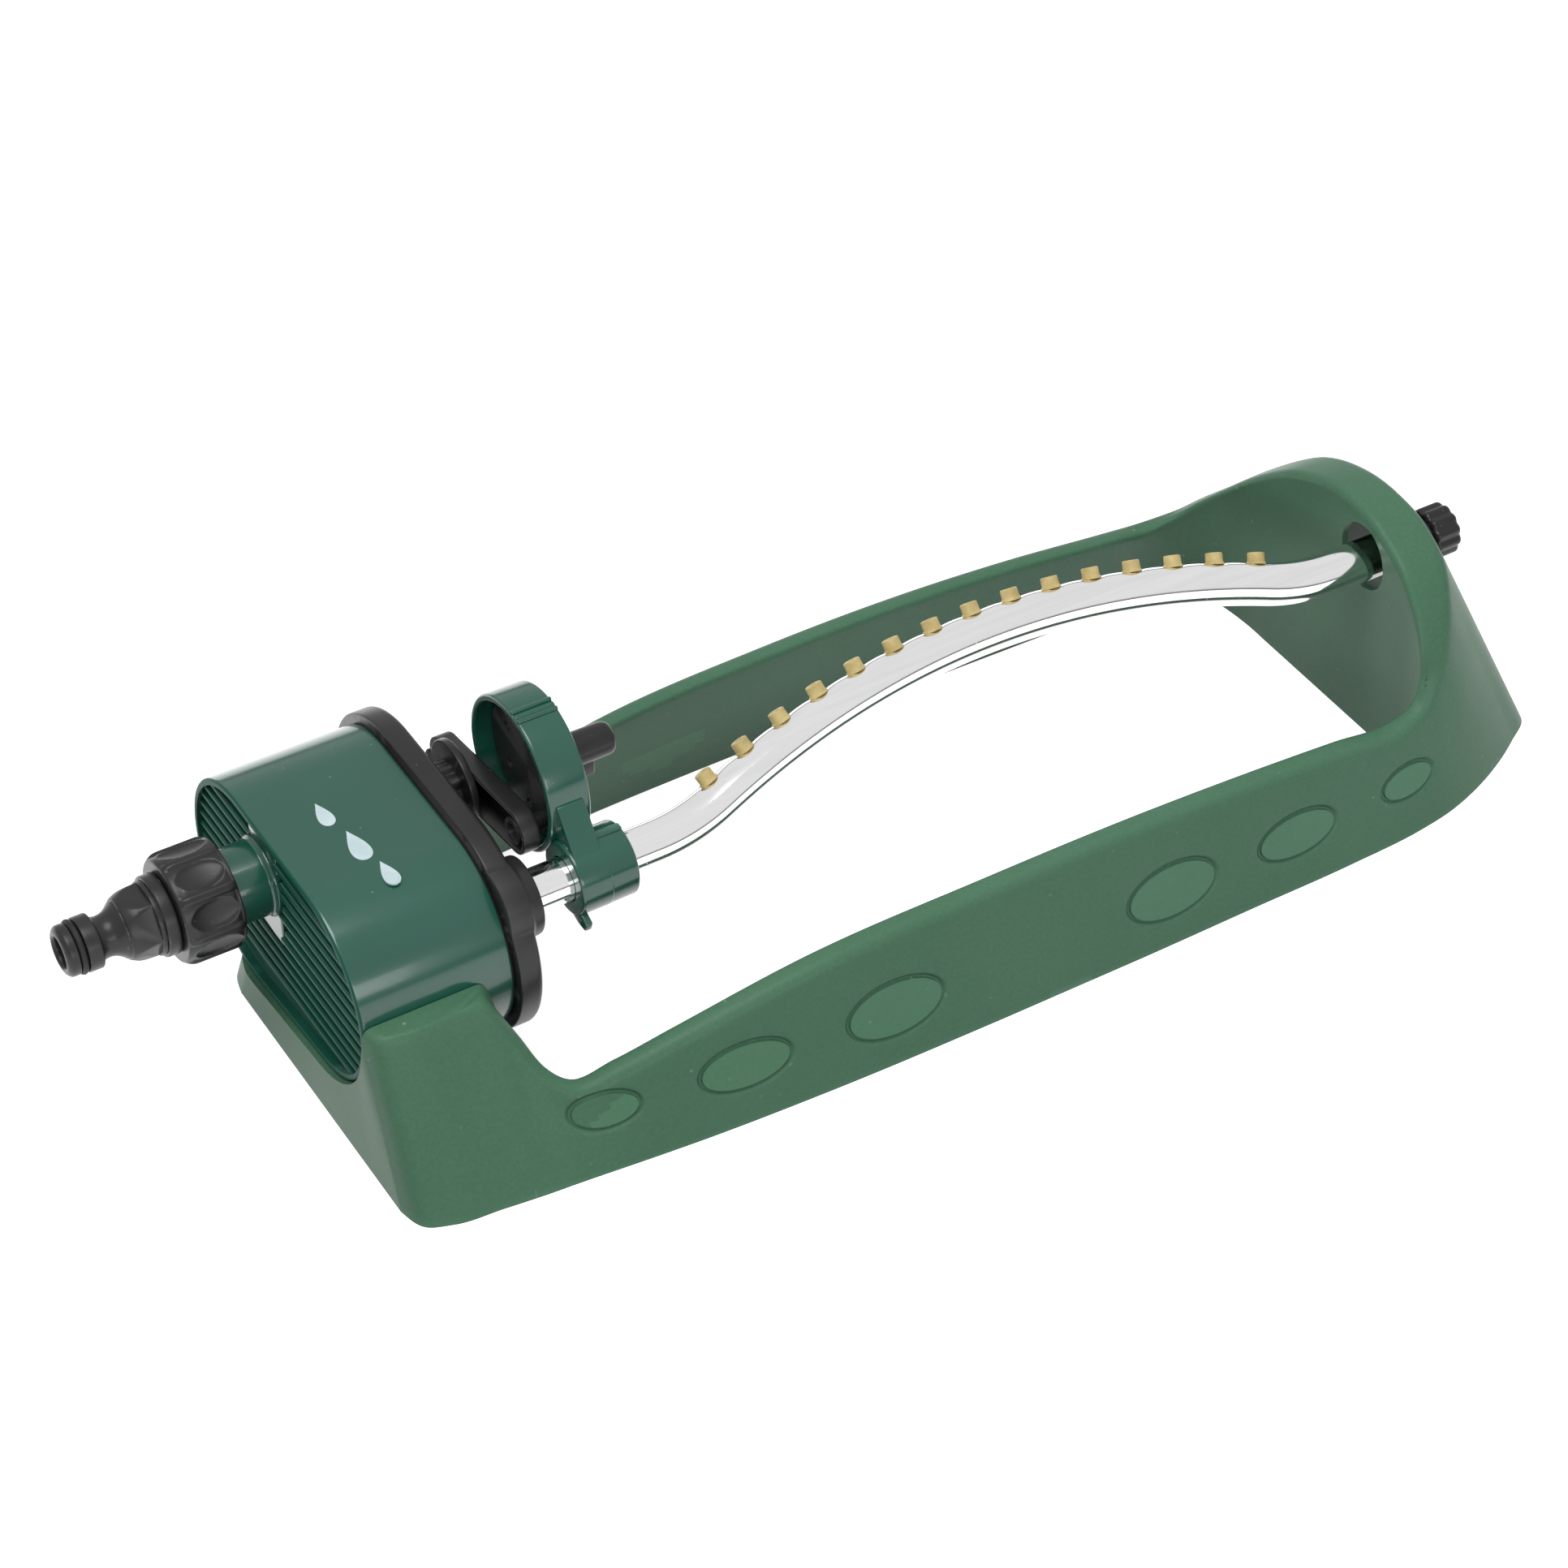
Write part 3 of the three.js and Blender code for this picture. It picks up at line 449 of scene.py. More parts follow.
def steel():
    s = Shader("drawn_steel", Metallic=1.0)
    lines = s.noise(500, 3, stretch=(0.03, 1, 1))
    s.colour(s.ramp(lines, [(0.3, (0.50, 0.50, 0.51)), (0.7, (0.64, 0.64, 0.65))]))
    s.roughness(lines, 0.2, 0.38)
    s.bump(lines, 0.08, 0.00006)
    return s.material


def filter_screen():
    """Blue moulded screen with a fine square mesh in its skin."""
    s = Shader("filter_screen", Metallic=0.0, Specular_IOR_Level=0.4)
    waves = [s.node("ShaderNodeTexWave", {"Vector": s.place, "Scale": 420.0}, bands_direction=way).outputs["Fac"]
             for way in ("X", "Y")]
    mesh = s.node("ShaderNodeMath", {0: waves[0], 1: waves[1]}, operation="MULTIPLY").outputs[0]
    s.colour(s.ramp(mesh, [(0.2, (0.05, 0.12, 0.30)), (0.7, (0.02, 0.05, 0.14))]))
    s.roughness(s.noise(90, 3), 0.4, 0.55)
    s.bump(mesh, 0.4, 0.0002)
    return s.material


MATERIALS = {
    # the oval plateaus' material is a lighter copy of the frame green, a painted sheen
    "frame_plastic": frame_plastic(), "oval_painted_sheen": frame_plastic("green_oval_painted_sheen", 1.3), "gloss_green": gloss_plastic(), "black_plastic": black_plastic(),
    "seal_rubber": rubber(), "polished_aluminium": polished_aluminium(), "nozzle_plastic": jet_rubber(),
    "gear_plastic": acetal(), "mark_print": mark_print(),
    "satin_green": gloss_plastic("satin_green_recess", 0.42, 0.55, 0.12, 0.0), "steel": steel(), "filter_plastic": filter_screen(),
}


def dressed(obj, material, smooth=32):
    """Gives a new piece its material and smooth shading with sharp creases."""
    obj.data.materials.clear()
    obj.data.materials.append(MATERIALS[material])
    obj.data.shade_smooth()
    obj.data.set_sharp_from_angle(angle=math.radians(smooth))
    return obj


def fitted(obj, slot, body, *nodes, smooth=32):
    """A finished piece: dressed, riding on its body and standing for its CAD nodes."""
    dressed(obj, slot, smooth)
    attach(obj, body)
    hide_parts(*nodes)
    return obj


def dress_cad_nodes():
    """Procedural materials and softened edges for the CAD nodes that stay."""
    slots = {part["node"]: part["material_slot"] for part in frame["record"]["subparts"]}
    for node, obj in NODES.items():
        for slot in obj.material_slots:
            slot.material = MATERIALS[slots[node]]
        if not obj.material_slots:
            obj.data.materials.append(MATERIALS[slots[node]])
        if obj.data.materials and len(obj.data.polygons) < 4000:
            softened = obj.modifiers.new("edge", "BEVEL")
            softened.width, softened.segments = 0.15 * MM, 2
            softened.limit_method, softened.angle_limit = "ANGLE", math.radians(40)


dress_cad_nodes()


# ------------------------------------------------------------------ base frame
# Sections of the hollow ring round its front half, from the middle of the hose end to the middle of
# the crown. Each row: outer foot x, y; outer edge x, y, z; inner edge x, y, z; inner foot x, y.
SECTIONS = [
    [-213, 17.65, -211.5, 17.65, -12, -171, 17.65, -12, -166, 17.65],
    [-213, -14, -211.5, -4, -12, -171, 2, -12, -166, -10],
    [-213, -33, -211.5, -12, -12, -172, -7, -12, -166, -26],
    [-210, -41.5, -209, -18.5, -12, -173, -11, -12, -166, -31],
    [-203, -44.8, -203, -20.5, -12, -174, -13, -12, -166, -35],
    [-188, -46.8, -188, -21, -12, -175, -15, -12, -165.5, -37.5],
    [-178, -48, -178.5, -21.5, -12.5, -175.3, -17.5, -13, -165, -40],
    [-171.5, -48.6, -172.6, -27.5, -24, -169.9, -24, -24, -164, -42],
    [-166.5, -49, -167.6, -34, -34, -165.6, -30.5, -33, -162, -43],
    [-160, -49.6, -160.5, -39.5, -38.7, -160, -33.5, -38, -158, -43.8],
    [-147, -50.9, -147, -42.3, -36, -147, -35.5, -35.2, -147, -45],
    [-129, -52.5, -129, -43.8, -31.8, -129, -36.8, -31, -129, -46.6],
    [-88, -54.7, -88, -46, -24, -88, -38.7, -23, -88, -48.7],
    [-28, -55.7, -28, -47, -21, -28, -40, -20.2, -28, -49.7],
    [20, -55.7, 20, -47, -21.2, 20, -40, -20.4, 20, -49.7],
    [60, -55.2, 60, -46.6, -23.4, 60, -39.5, -22.5, 60, -49.2],
    [97, -54.8, 97, -45.8, -26.8, 97, -38.6, -25.9, 97, -48.6],
    [124, -53.3, 120, -44.3, -29.3, 118, -37.6, -28.8, 121, -47],
    [137, -51.2, 129.5, -42.4, -26.5, 126.5, -37, -26.8, 130, -45],
    [150, -47.2, 136, -39.5, -19, 130, -36.5, -20, 135, -41],
    [164, -40.9, 141, -35.5, -8.5, 131, -35.3, -10, 137.2, -34],
    [175, -34.4, 145, -29, 2, 132, -29.4, 0.6, 138, -26],
    [183.4, -28.4, 148, -20.3, 10.6, 133, -19.5, 9.8, 138, -17],
    [185.8, -21, 149.2, -11, 14.8, 134, -9, 14.4, 138, -10],
    [187.5, 0, 150, 4, 17.6, 134.4, 4, 18, 138, 3],
    [188, 17.65, 150, 17, 17.2, 134.5, 17, 17.8, 138, 17],
]
# The crown's back, from its middle round its back corner to the back panel.
CROWN_BACK = [
    [187.5, 35, 150, 33, 12.4, 134, 33, 12.2, 138, 33],
    [185.8, 56, 148, 46, 4.5, 133, 45, 4.8, 138, 45],
    [183.4, 63.7, 145, 57, -5, 131.5, 55, -3.6, 138, 54],
    [175, 69.7, 139.5, 67, -15, 129.5, 64, -12.8, 137, 65],
    [164, 76.2, 133, 75.5, -23, 125.5, 70.5, -20.5, 135, 73.5],
    [150, 82.5, 126, 80, -28, 119.5, 74, -26, 131, 79.5],
    [137, 86.8, 118.5, 81.6, -29.2, 112.5, 74.8, -28.2, 123, 82.6],
]
FIRST_CROWN_SECTION = 17  # the sections before this one also stand, mirrored, in the back half
RIM_RADIUS, FRAME_WALL = 3.2, 2.2
# Ovals sunk into the front and back panels: x of the middle, length, height.
OVALS = [(-154, 19, 9.5), (-112, 27, 13), (-64, 30, 16.5), (31.5, 30, 16.5), (77.5, 27, 13), (120.5, 19, 9.5)]
OVAL_Z = -46.0


def ring_keys():
    rows = np.array(SECTIONS, dtype=float)
    back = rows[1:FIRST_CROWN_SECTION][::-1].copy()
    back[:, [1, 3, 6, 9]] = 2 * MIDDLE_Y - back[:, [1, 3, 6, 9]]
    return np.concatenate([rows, np.array(CROWN_BACK, dtype=float), back])


def dense_keys(step):
    """The ring's sections at close stations, on a smooth curve through the given ones."""
    rows = ring_keys()
    count = len(rows)
    chord = np.linalg.norm(np.roll(rows, -1, axis=0)[:, :5] - rows[:, :5], axis=1)
    slope = (np.roll(rows, -1, axis=0) - rows) / chord[:, None]
    before = np.roll(chord, 1)[:, None]
    tangent = (np.roll(slope, 1, axis=0) * chord[:, None] + slope * before) / (before + chord[:, None])
    out = []
    for i in range(count):
        j = (i + 1) % count
        stations = max(1, round(chord[i] / step))
        for k in range(stations):
            t = k / stations
            out.append((2 * t ** 3 - 3 * t ** 2 + 1) * rows[i] + (3 * t ** 2 - 2 * t ** 3) * rows[j]
                       + chord[i] * ((t ** 3 - 2 * t ** 2 + t) * tangent[i] + (t ** 3 - t ** 2) * tangent[j]))
    dense = np.array(out)
    dense[:, [0, 2]] = np.clip(dense[:, [0, 2]], -213, 188)
    dense[:, 1] = np.clip(dense[:, 1], -55.7, 2 * MIDDLE_Y + 55.7)
    return dense


def rounded_corner(a, b, c, radius, steps):
    start = b + (a - b) * np.minimum(0.45, radius / np.linalg.norm(a - b, axis=1))[:, None]
    end = b + (c - b) * np.minimum(0.45, radius / np.linalg.norm(c - b, axis=1))[:, None]
    return [(1 - t) ** 2 * start + 2 * t * (1 - t) * b + t * t * end for t in np.linspace(0, 1, steps)]


def section_points(dense, panel_steps, corner_steps):
    """For each station, the points over the ring's wall from the outer foot to the inner foot."""
    foot = np.full(len(dense), GROUND)
    a = np.column_stack([dense[:, 0], dense[:, 1], foot])
    b, c = dense[:, 2:5], dense[:, 5:8]
    d = np.column_stack([dense[:, 8], dense[:, 9], foot])
    outer = rounded_corner(a, b, c, RIM_RADIUS, corner_steps)
    inner = rounded_corner(b, c, d, RIM_RADIUS, corner_steps)
    panel = [a + (outer[0] - a) * t for t in np.linspace(0, 1, panel_steps)[:-1]]
    inside = [inner[-1] + (d - inner[-1]) * t for t in np.linspace(0, 1, panel_steps)[1:]]
    return np.stack([*panel, *outer, *inner, *inside], axis=1)


def ring_object(name, points, inset=0.0, drop=0.0):
    """A closed ring through the stations, optionally set in from the outside, and lowered."""
    if inset:
        along = np.roll(points, -1, axis=0) - np.roll(points, 1, axis=0)
        across = np.empty_like(points)
        across[:, 1:-1] = points[:, 2:] - points[:, :-2]
        across[:, 0], across[:, -1] = points[:, 1] - points[:, 0], points[:, -1] - points[:, -2]
        normal = np.cross(across, along)
        normal[:, [0, -1], 2] = 0
        normal /= np.linalg.norm(normal, axis=2)[:, :, None]
        points = points + inset * normal
    if drop:
        points = points.copy()
        points[:, [0, -1], 2] -= drop
    rows, cols = points.shape[:2]
    return mesh_object(name, points.reshape(-1, 3), grid_faces(rows, cols, True, True))


def panel_point(dense, x, z):
    """The point of the front panel at the given x and height."""
    front = dense[: len(dense) // 2]
    t = (z - GROUND) / (front[:, 4] - GROUND)
    xs = front[:, 0] + (front[:, 2] - front[:, 0]) * t
    ys = front[:, 1] + (front[:, 3] - front[:, 1]) * t
    keep = (xs > -172) & (xs < 140)
    order = np.argsort(xs[keep])
    return np.array([x, np.interp(x, xs[keep][order], ys[keep][order]), z])


def oval_tool(dense, middle, length, height, back):
    """Cutter for the groove round one oval: crisp on the oval's side, soft on the outside."""
    centre = panel_point(dense, middle, OVAL_Z)
    along = panel_point(dense, middle + 4, OVAL_Z) - panel_point(dense, middle - 4, OVAL_Z)
    up = panel_point(dense, middle, OVAL_Z + 4) - panel_point(dense, middle, OVAL_Z - 4)
    along, up = along / np.linalg.norm(along), up / np.linalg.norm(up)
    out = np.cross(along, up)
    groove = [(-0.05, 0.6), (0.0, 0.05), (0.06, -0.1), (0.12, -0.75), (0.3, -0.95), (0.75, -1.0), (1.2, -0.7),
              (1.55, -0.32), (1.8, -0.1), (2.1, 0.02), (2.4, 0.25), (2.4, 0.6)]
    loops = []
    for turn in np.linspace(0, 2 * math.pi, 112, endpoint=False):
        loop = []
        for reach, depth in groove:
            u = (length / 2 + reach) * math.cos(turn)
            v = (height / 2 + reach) * math.sin(turn)
            flat = centre + u * along + v * up
            loop.append(panel_point(dense, flat[0], flat[2]) + depth * out)
        loops.append(np.array(loop))
    if back:
        for loop in loops:
            loop[:, 1] = 2 * MIDDLE_Y - loop[:, 1]
    return loops_object("oval_cutter", loops, cap=False)


def base_frame():
    dense = dense_keys(1.0)
    points = section_points(dense, 15, 9)
    outer = ring_object("frame_shell", points)
    inner = ring_object("frame_inside", points, FRAME_WALL, 6)

    def cradle(extra):
        small = oval_solid("cradle", [(-230, 0.3 + extra), (-153, 0.3 + extra)])
        large = oval_solid("cradle_wide", [(HOUSING_X[1] - 0.3 - extra, 3.3 + extra), (-153 + extra, 3.3 + extra)])
        return unite(small, large)

    ovals = [oval_tool(dense, *oval, back) for oval in OVALS for back in (False, True)]
    cut(outer, cradle(0), joined(*ovals))
    cut(inner, cradle(FRAME_WALL))
    turn = np.linspace(0, 2 * math.pi, 64, endpoint=False)
    hole = np.column_stack([10.5 * np.cos(turn), 1.5 + 11.3 * np.sin(turn)])
    cut(outer, inner, prism("tube_window", hole, 120, 144), disc("end_window", 140, 200, 9.3, 0, 0))
    fitted(outer, "frame_plastic", "base", "base_frame", smooth=28)
    # faces on the oval plateaus get the lighter copy of the frame green, a painted sheen
    outer.data.materials.append(MATERIALS["oval_painted_sheen"])
    for face in outer.data.polygons:
        x, y, z = local(face.center)
        if abs(face.normal.y) > 0.8 and not -44 < y < 80:
            face.material_index = int(any(math.hypot((x - middle) / (length / 2), (z - OVAL_Z) / (height / 2)) < 1.01
                                          for middle, length, height in OVALS))
    return outer


# ------------------------------------------------------------------ motor housing and cover
def rounded_rib(name, x, y, z, edge):
    """A bar with every edge rounded."""
    return bevelled(block(name, x, y, z), edge, 3, 30)


PAD_R = 18.5  # how far the flat above and below the inlet reaches


def motor_housing():
    left, right = HOUSING_X
    face = left + 3.2
    shell = oval_solid("housing_shell", corner([(left + 1.2, -3), (left, -1.9), (left, 0), (right, 0), (right, -3)],
                                               [0, 0, 1.3, 0.4, 0], 6))
    cut(shell,
        oval_solid("recess", corner([(left - 1, -2.0), (face, -2.2), (face, -12)], [0, 0.9, 0], 5)),
        oval_solid("chamber", [(face + 1.8, -2), (right + 1, -2)]))
    window = oval_solid("rib_field", [(left - 2, -1.95), (face + 0.6, -1.95)])
    ribs = []
    for i in range(11):
        middle = -17.5 + (i - 5) * 4.6
        spans = [(-20, 100)]
        if abs(middle - INLET_Z) < PAD_R:
            spans = [(-20, INLET_Y - 9 - 3.2 * (i % 2)), (INLET_Y + 6 + 3.2 * (i % 2), 100)]
        for span in spans:
            ribs.append(rounded_rib("rib", (left + 1.1, face + 0.5), span, (middle - 0.85, middle + 0.85), 0.55))
    field = joined(*ribs)
    boolean(field, window, "INTERSECT")
    pad = bevelled(block("pad", (left + 1.6, face + 0.6), (INLET_Y - 10, INLET_Y + 7),
                         (INLET_Z - PAD_R - 1, INLET_Z + PAD_R + 1)), 0.5)
    boolean(pad, oval_solid("pad_field", [(left - 2, -2.05), (face + 1, -2.05)]), "INTERSECT")
    socket = revolved("socket", corner([(face + 0.8, 0), (face + 0.8, 12.4), (left + 0.6, 12.3), (left - 0.1, 11.6),
                                        (left - 0.5, 11.3), (-228.9, 11.25), (-229.5, 10.6), (-229.5, 0)],
                                       [0, 0, 0.7, 0.5, 0.3, 0.4, 0.3, 0], 4), INLET_Y, INLET_Z, 96)
    unite(shell, field, pad, socket)
    cut(shell, disc("inlet_bore", -230.5, face + 3, 7.6, INLET_Y, INLET_Z))
    fitted(shell, "gloss_green", "base", "motor_housing", smooth=35)
    shell.data.materials.append(MATERIALS["satin_green"])
    for face_ in shell.data.polygons:
        x, y, z = local(face_.center)
        on_pad = abs(y - INLET_Y + 1.5) < 9 and abs(z - INLET_Z) < PAD_R + 1
        if face_.normal.x < -0.3 and left - 0.1 < x < face + 0.2 and not on_pad:
            face_.material_index = 1
    return shell


def motor_cover():
    left, right = COVER_X
    plate = oval_solid("motor_cover_plate", corner([(left, -25), (left, 2.96), (right, 2.96), (right, -25)],
                                                   [0, 0.7, 1.8, 0], 6))
    cut(plate, oval_solid("cover_recess", [(left - 1, -3), (right - 2.4, -3)]))
    outlet = revolved("outlet_boss", corner([(left, 0), (left, 12.6), (right - 0.3, 12.6), (right + 0.6, 11.9),
                                             (-153, 11.6), (-153, 0)], [0, 0, 0.3, 0.6, 0.9, 0], 5), 0, 0, 96)
    shaft_boss = revolved("shaft_boss", corner([(left, 0), (left, 8), (right + 0.6, 8), (right + 0.6, 0)],
                                               [0, 0, 0.5, 0], 4), CRANK_Y, CRANK_Z, 64)
    unite(plate, outlet, shaft_boss)
    cut(plate, disc("outlet_bore", left + 3, -152, TUBE_R + 0.3, 0, 0),
        disc("seal_groove", -157.4, -154.6, 8.9, 0, 0),
        disc("shaft_bore", left - 1, right + 2, 2.8, CRANK_Y, CRANK_Z),
        disc("seal_pocket", left - 1, -160.2, 5.4, CRANK_Y, CRANK_Z))
    return fitted(plate, "black_plastic", "base", "motor_cover", smooth=35)


def seals():
    lip = [(-164.9, -1.6), (-164.9, -0.7), (-164.6, -0.4), (-164.3, -0.7), (-164.3, -1.6), (-164.6, -1.8), (-164.9, -1.6)]
    fitted(oval_solid("gasket_cord", lip), "seal_rubber", "base", "cover_gasket")
    rings = [
        ("outlet_seal", "tube_seal", -157.1, -154.9, TUBE_R + 0.15, 8.6, 0, 0),
        ("crank_seal", "shaft_seal", -163.8, -160.5, 2.75, 5.1, CRANK_Y, CRANK_Z),
        ("hose_washer", "inlet_washer", -231.3, -229.8, 7, 11.2, INLET_Y, INLET_Z),
    ]
    for name, node, *size in rings:
        fitted(washer(name, *size, 0.35), "seal_rubber", "base", node)


def droplets():
    """Three printed drops, a plain water mark on the housing's top towards its front."""
    (y0, z0, r0), (y1, z1, r1) = HOUSING_FRONT, HOUSING_BACK
    lean = math.atan2((z1 + r1) - (z0 + r0), y1 - y0)
    for i, size in enumerate((5.2, 6.6, 5.2)):
        middle = np.array([-190.0 + 2.4 * (i - 1), y0 + 14 + 15 * (1 - i)])
        turn = np.linspace(0, 2 * math.pi, 48, endpoint=False)
        along = size * np.cos(turn) - 0.6 * size
        across = 0.62 * size * np.sin(turn) * np.sin(turn / 2) ** 1.4
        loops = []
        for lift in (-0.4, 0.12):
            xs, ys = middle[0] + across, middle[1] + along
            zs = z0 + r0 * math.cos(lean) + (ys - y0 + r0 * math.sin(lean)) * math.tan(lean) + lift
            loops.append(np.column_stack([xs, ys, zs]))
        mark = loops_object(f"water_mark_{i + 1}", loops)
        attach(dressed(mark, "mark_print", smooth=40), "base")


# ------------------------------------------------------------------ hose connection
def swivel_nut():
    left, right, high, low = -239.0, -221.5, 16.5, 14.6
    profile = corner([(left, 9.6), (left, 15.2), (left + 2.2, high), (right - 1.6, high), (right, 15.6),
                      (right, 11.65)], [0, 0.8, 1.6, 1.2, 0.6, 0], 6)
    dense = []
    for (x0, r0), (x1, r1) in zip(profile, profile[1:]):
        steps = max(1, round(math.hypot(x1 - x0, r1 - r0) / 0.5))
        dense += [(x0 + (x1 - x0) * k / steps, r0 + (r1 - r0) * k / steps) for k in range(steps)]
    dense.append(profile[-1])

    def grip(x, r, turn):
        """Eight raised lugs with a scooped oval dent between each two."""
        if r < 13.5:
            return np.full(len(turn), r)
        place = (turn / (2 * math.pi) * 8) % 1 - 0.5
        across = np.clip(np.abs(place) / 0.34, 0, 1)
        reach = (x - (left + right) / 2 - 0.4) / 7.0
        scoop = np.clip(1 - across ** 2 - reach ** 2, 0, 1)
        lug = np.clip((np.abs(place) - 0.38) / 0.045, 0, 1)
        valley = 0.75 * (1 - lug) * min(1.0, max(0.0, (x - left) / 2.0)) * min(1.0, max(0.0, (right - x) / 1.2))
        return np.minimum(r, r - valley) - (high - low) * 0.72 * np.sqrt(scoop)

    body = revolved("swivel_nut_body", [*dense, (-234.7, 11.65), (-234.7, 9.6), dense[0]], INLET_Y, INLET_Z, 256, grip)
    return fitted(body, "black_plastic", "nut", "swivel_nut", smooth=40)


def hose_adapter():
    nose = corner([(-231.6, 6), (-235, 4.5), (-270.2, 4.5), (-271, 5.2), (-270.7, 6.6), (-269.6, 7.6), (-267.3, 7.6),
                   (-267.3, 6.2), (-264.9, 6.2), (-264.9, 8.1), (-260.6, 8.1), (-260.2, 6.6), (-258.4, 6.05),
                   (-256.2, 6.3), (-254.4, 7.4), (-253.2, 8.6), (-243.4, 8.8), (-243.4, 9.2), (-234.4, 9.2),
                   (-234.4, 11.3), (-231.6, 11.3), (-231.6, 6)],
                  [0, 0.6, 0.8, 0.5, 0.8, 0.6, 0.35, 0.2, 0.2, 0.45, 0.5, 0.4, 1.6, 1.6, 1.4, 0.6, 0.1, 0.2, 0.2, 0.3,
                   0.3, 0], 5)
    body = revolved("hose_adapter_nose", nose, INLET_Y, INLET_Z, 96)
    collar = washer("collar", -243.2, -239.3, 7, 12, INLET_Y, INLET_Z, 0.7, 96)
    rim = washer("collar_rim", -244.6, -243.0, 7, 11.0, INLET_Y, INLET_Z, 0.5, 96)
    turn = np.radians(np.arange(6) * 60)
    hexagon = prism("hexagon", np.column_stack([INLET_Y + 10.9 * np.cos(turn), INLET_Z + 10.9 * np.sin(turn)]), -253, -243.2)
    dome = revolved("hexagon_dome", corner([(-253.2, 7), (-252.8, 9.0), (-249.5, 10.55), (-243.2, 10.9), (-243.2, 7),
                                            (-253.2, 7)], [0, 0.5, 3, 0, 0, 0], 6), INLET_Y, INLET_Z, 96)
    core = disc("hexagon_core", -253.2, -243.2, 7.1, INLET_Y, INLET_Z)
    boolean(hexagon, unite(dome, core), "INTERSECT")
    unite(body, hexagon, collar, rim)
    cut(body, disc("adapter_bore", -272, -236, 4.5, INLET_Y, INLET_Z))
    fitted(body, "black_plastic", "base", "hose_adapter", smooth=35)
    turn = np.linspace(0, 2 * math.pi, 20)
    cord = [(-266.1 + 0.98 * math.cos(a), 7.18 + 0.95 * math.sin(a)) for a in turn]
    fitted(revolved("nose_oring", cord, INLET_Y, INLET_Z, 96), "seal_rubber", "base", "adapter_oring", smooth=60)


# ------------------------------------------------------------------ spray tube and jets
def arch_height(x):
    run = abs(x - ARCH_X)
    if run <= ARCH_HALF:
        return ARCH_RISE - run ** 2 / (2 * ARCH_R)
    edge = ARCH_RISE - ARCH_HALF ** 2 / (2 * ARCH_R)
    easing = 2 * edge * ARCH_R / ARCH_HALF
    return edge * max(0.0, 1 - (run - ARCH_HALF) / easing) ** 2


def leaning(x, height):
    return np.array([x, height * math.sin(TUBE_TILT), height * math.cos(TUBE_TILT)])


def arch_frame(x):
    """Centre, direction along the tube and direction of the jets at x."""
    slope = (arch_height(x + 0.25) - arch_height(x - 0.25)) / 0.5
    return leaning(x, arch_height(x)), leaning(1, slope) / math.hypot(1, slope), leaning(-slope, 1) / math.hypot(1, slope)


JET_X = [JET_MIDDLE + (i - (JETS - 1) / 2) * JET_PITCH for i in range(JETS)]


def pressed(x):
    """Depth of the pressed wave in the tube's top: a dip at each jet and a low crest after it."""
    if not JET_X[0] - JET_PITCH / 2 < x < JET_X[-1] + JET_PITCH / 2:
        return 0.0
    place = ((x - JET_X[0]) / JET_PITCH + 0.5) % 1 - 0.5
    return 0.55 * math.exp(-(place / 0.22) ** 2)


def spray_tube():
    side = np.linspace(0, 2 * math.pi, 72, endpoint=False)
    crown = np.clip(np.cos(side), 0, 1) ** 5
    stations = []
    x = -160.8
    while x < TUBE_END:
        stations.append(x)
        x += 0.6 if JET_X[0] - 8 < x < JET_X[-1] + 8 else 1.5
    stations.append(TUBE_END)

    def loop(x, radius, depth):
        centre, along, up = arch_frame(x)
        over = np.cross(along, up)
        reach = radius - depth * crown
        return centre + np.outer(reach * np.cos(side), up) + np.outer(reach * np.sin(side), over)

    ends = [(-160.8, 6.35), (TUBE_END, 6.35)]
    outside = [loop(x, TUBE_R, pressed(x)) for x in stations[1:-1]]
    inside = [loop(x, TUBE_R - 0.9, pressed(x)) for x in stations[::-1]]
    loops = [loop(ends[0][0], ends[0][1], 0), *outside, loop(ends[1][0], ends[1][1], 0), *inside]
    tube = loops_object("spray_tube_wall", loops, cap=False)
    return fitted(tube, "polished_aluminium", "spray_arm", "spray_tube", smooth=40)


def jets():
    """Moulded jet inserts: a stem through the wall, a shallow collar and a chamfered head."""
    seat, top = TUBE_R - 0.62, TUBE_R + 3.0
    profile = corner([(0.7, seat - 1.8), (1.7, seat - 1.8), (1.7, seat), (3.05, seat), (3.05, seat + 0.55), (2.66, seat + 0.8),
                      (2.6, top - 0.2), (2.25, top), (1.25, top), (0.72, top - 0.7), (0.7, seat - 1.8)],
                     [0, 0, 0, 0.1, 0.25, 0.25, 0.3, 0.3, 0.15, 0.3, 0], 4)
    turn = np.linspace(0, 2 * math.pi, 40, endpoint=False)
    for i, x in enumerate(JET_X):
        centre, along, up = arch_frame(x)
        over = np.cross(along, up)
        loops = [centre + h * up + np.outer(r * np.cos(turn), along) + np.outer(r * np.sin(turn), over)
                 for r, h in profile[:-1]]
        jet = loops_object(f"jet_{i + 1:02d}", loops, cap=False)
        fitted(jet, "nozzle_plastic", "spray_arm", f"nozzle_{i + 1:02d}", smooth=40)


def fluted(count, high, low, sharpness=1.0):
    """Shapes a turned profile with rounded flutes."""
    def shape(x, r, turn):
        share = (0.5 + 0.5 * np.cos(turn * count)) ** sharpness
        return np.full(len(turn), r) if r < 0.6 * high else r * (low + (high - low) * share) / high
    return shape


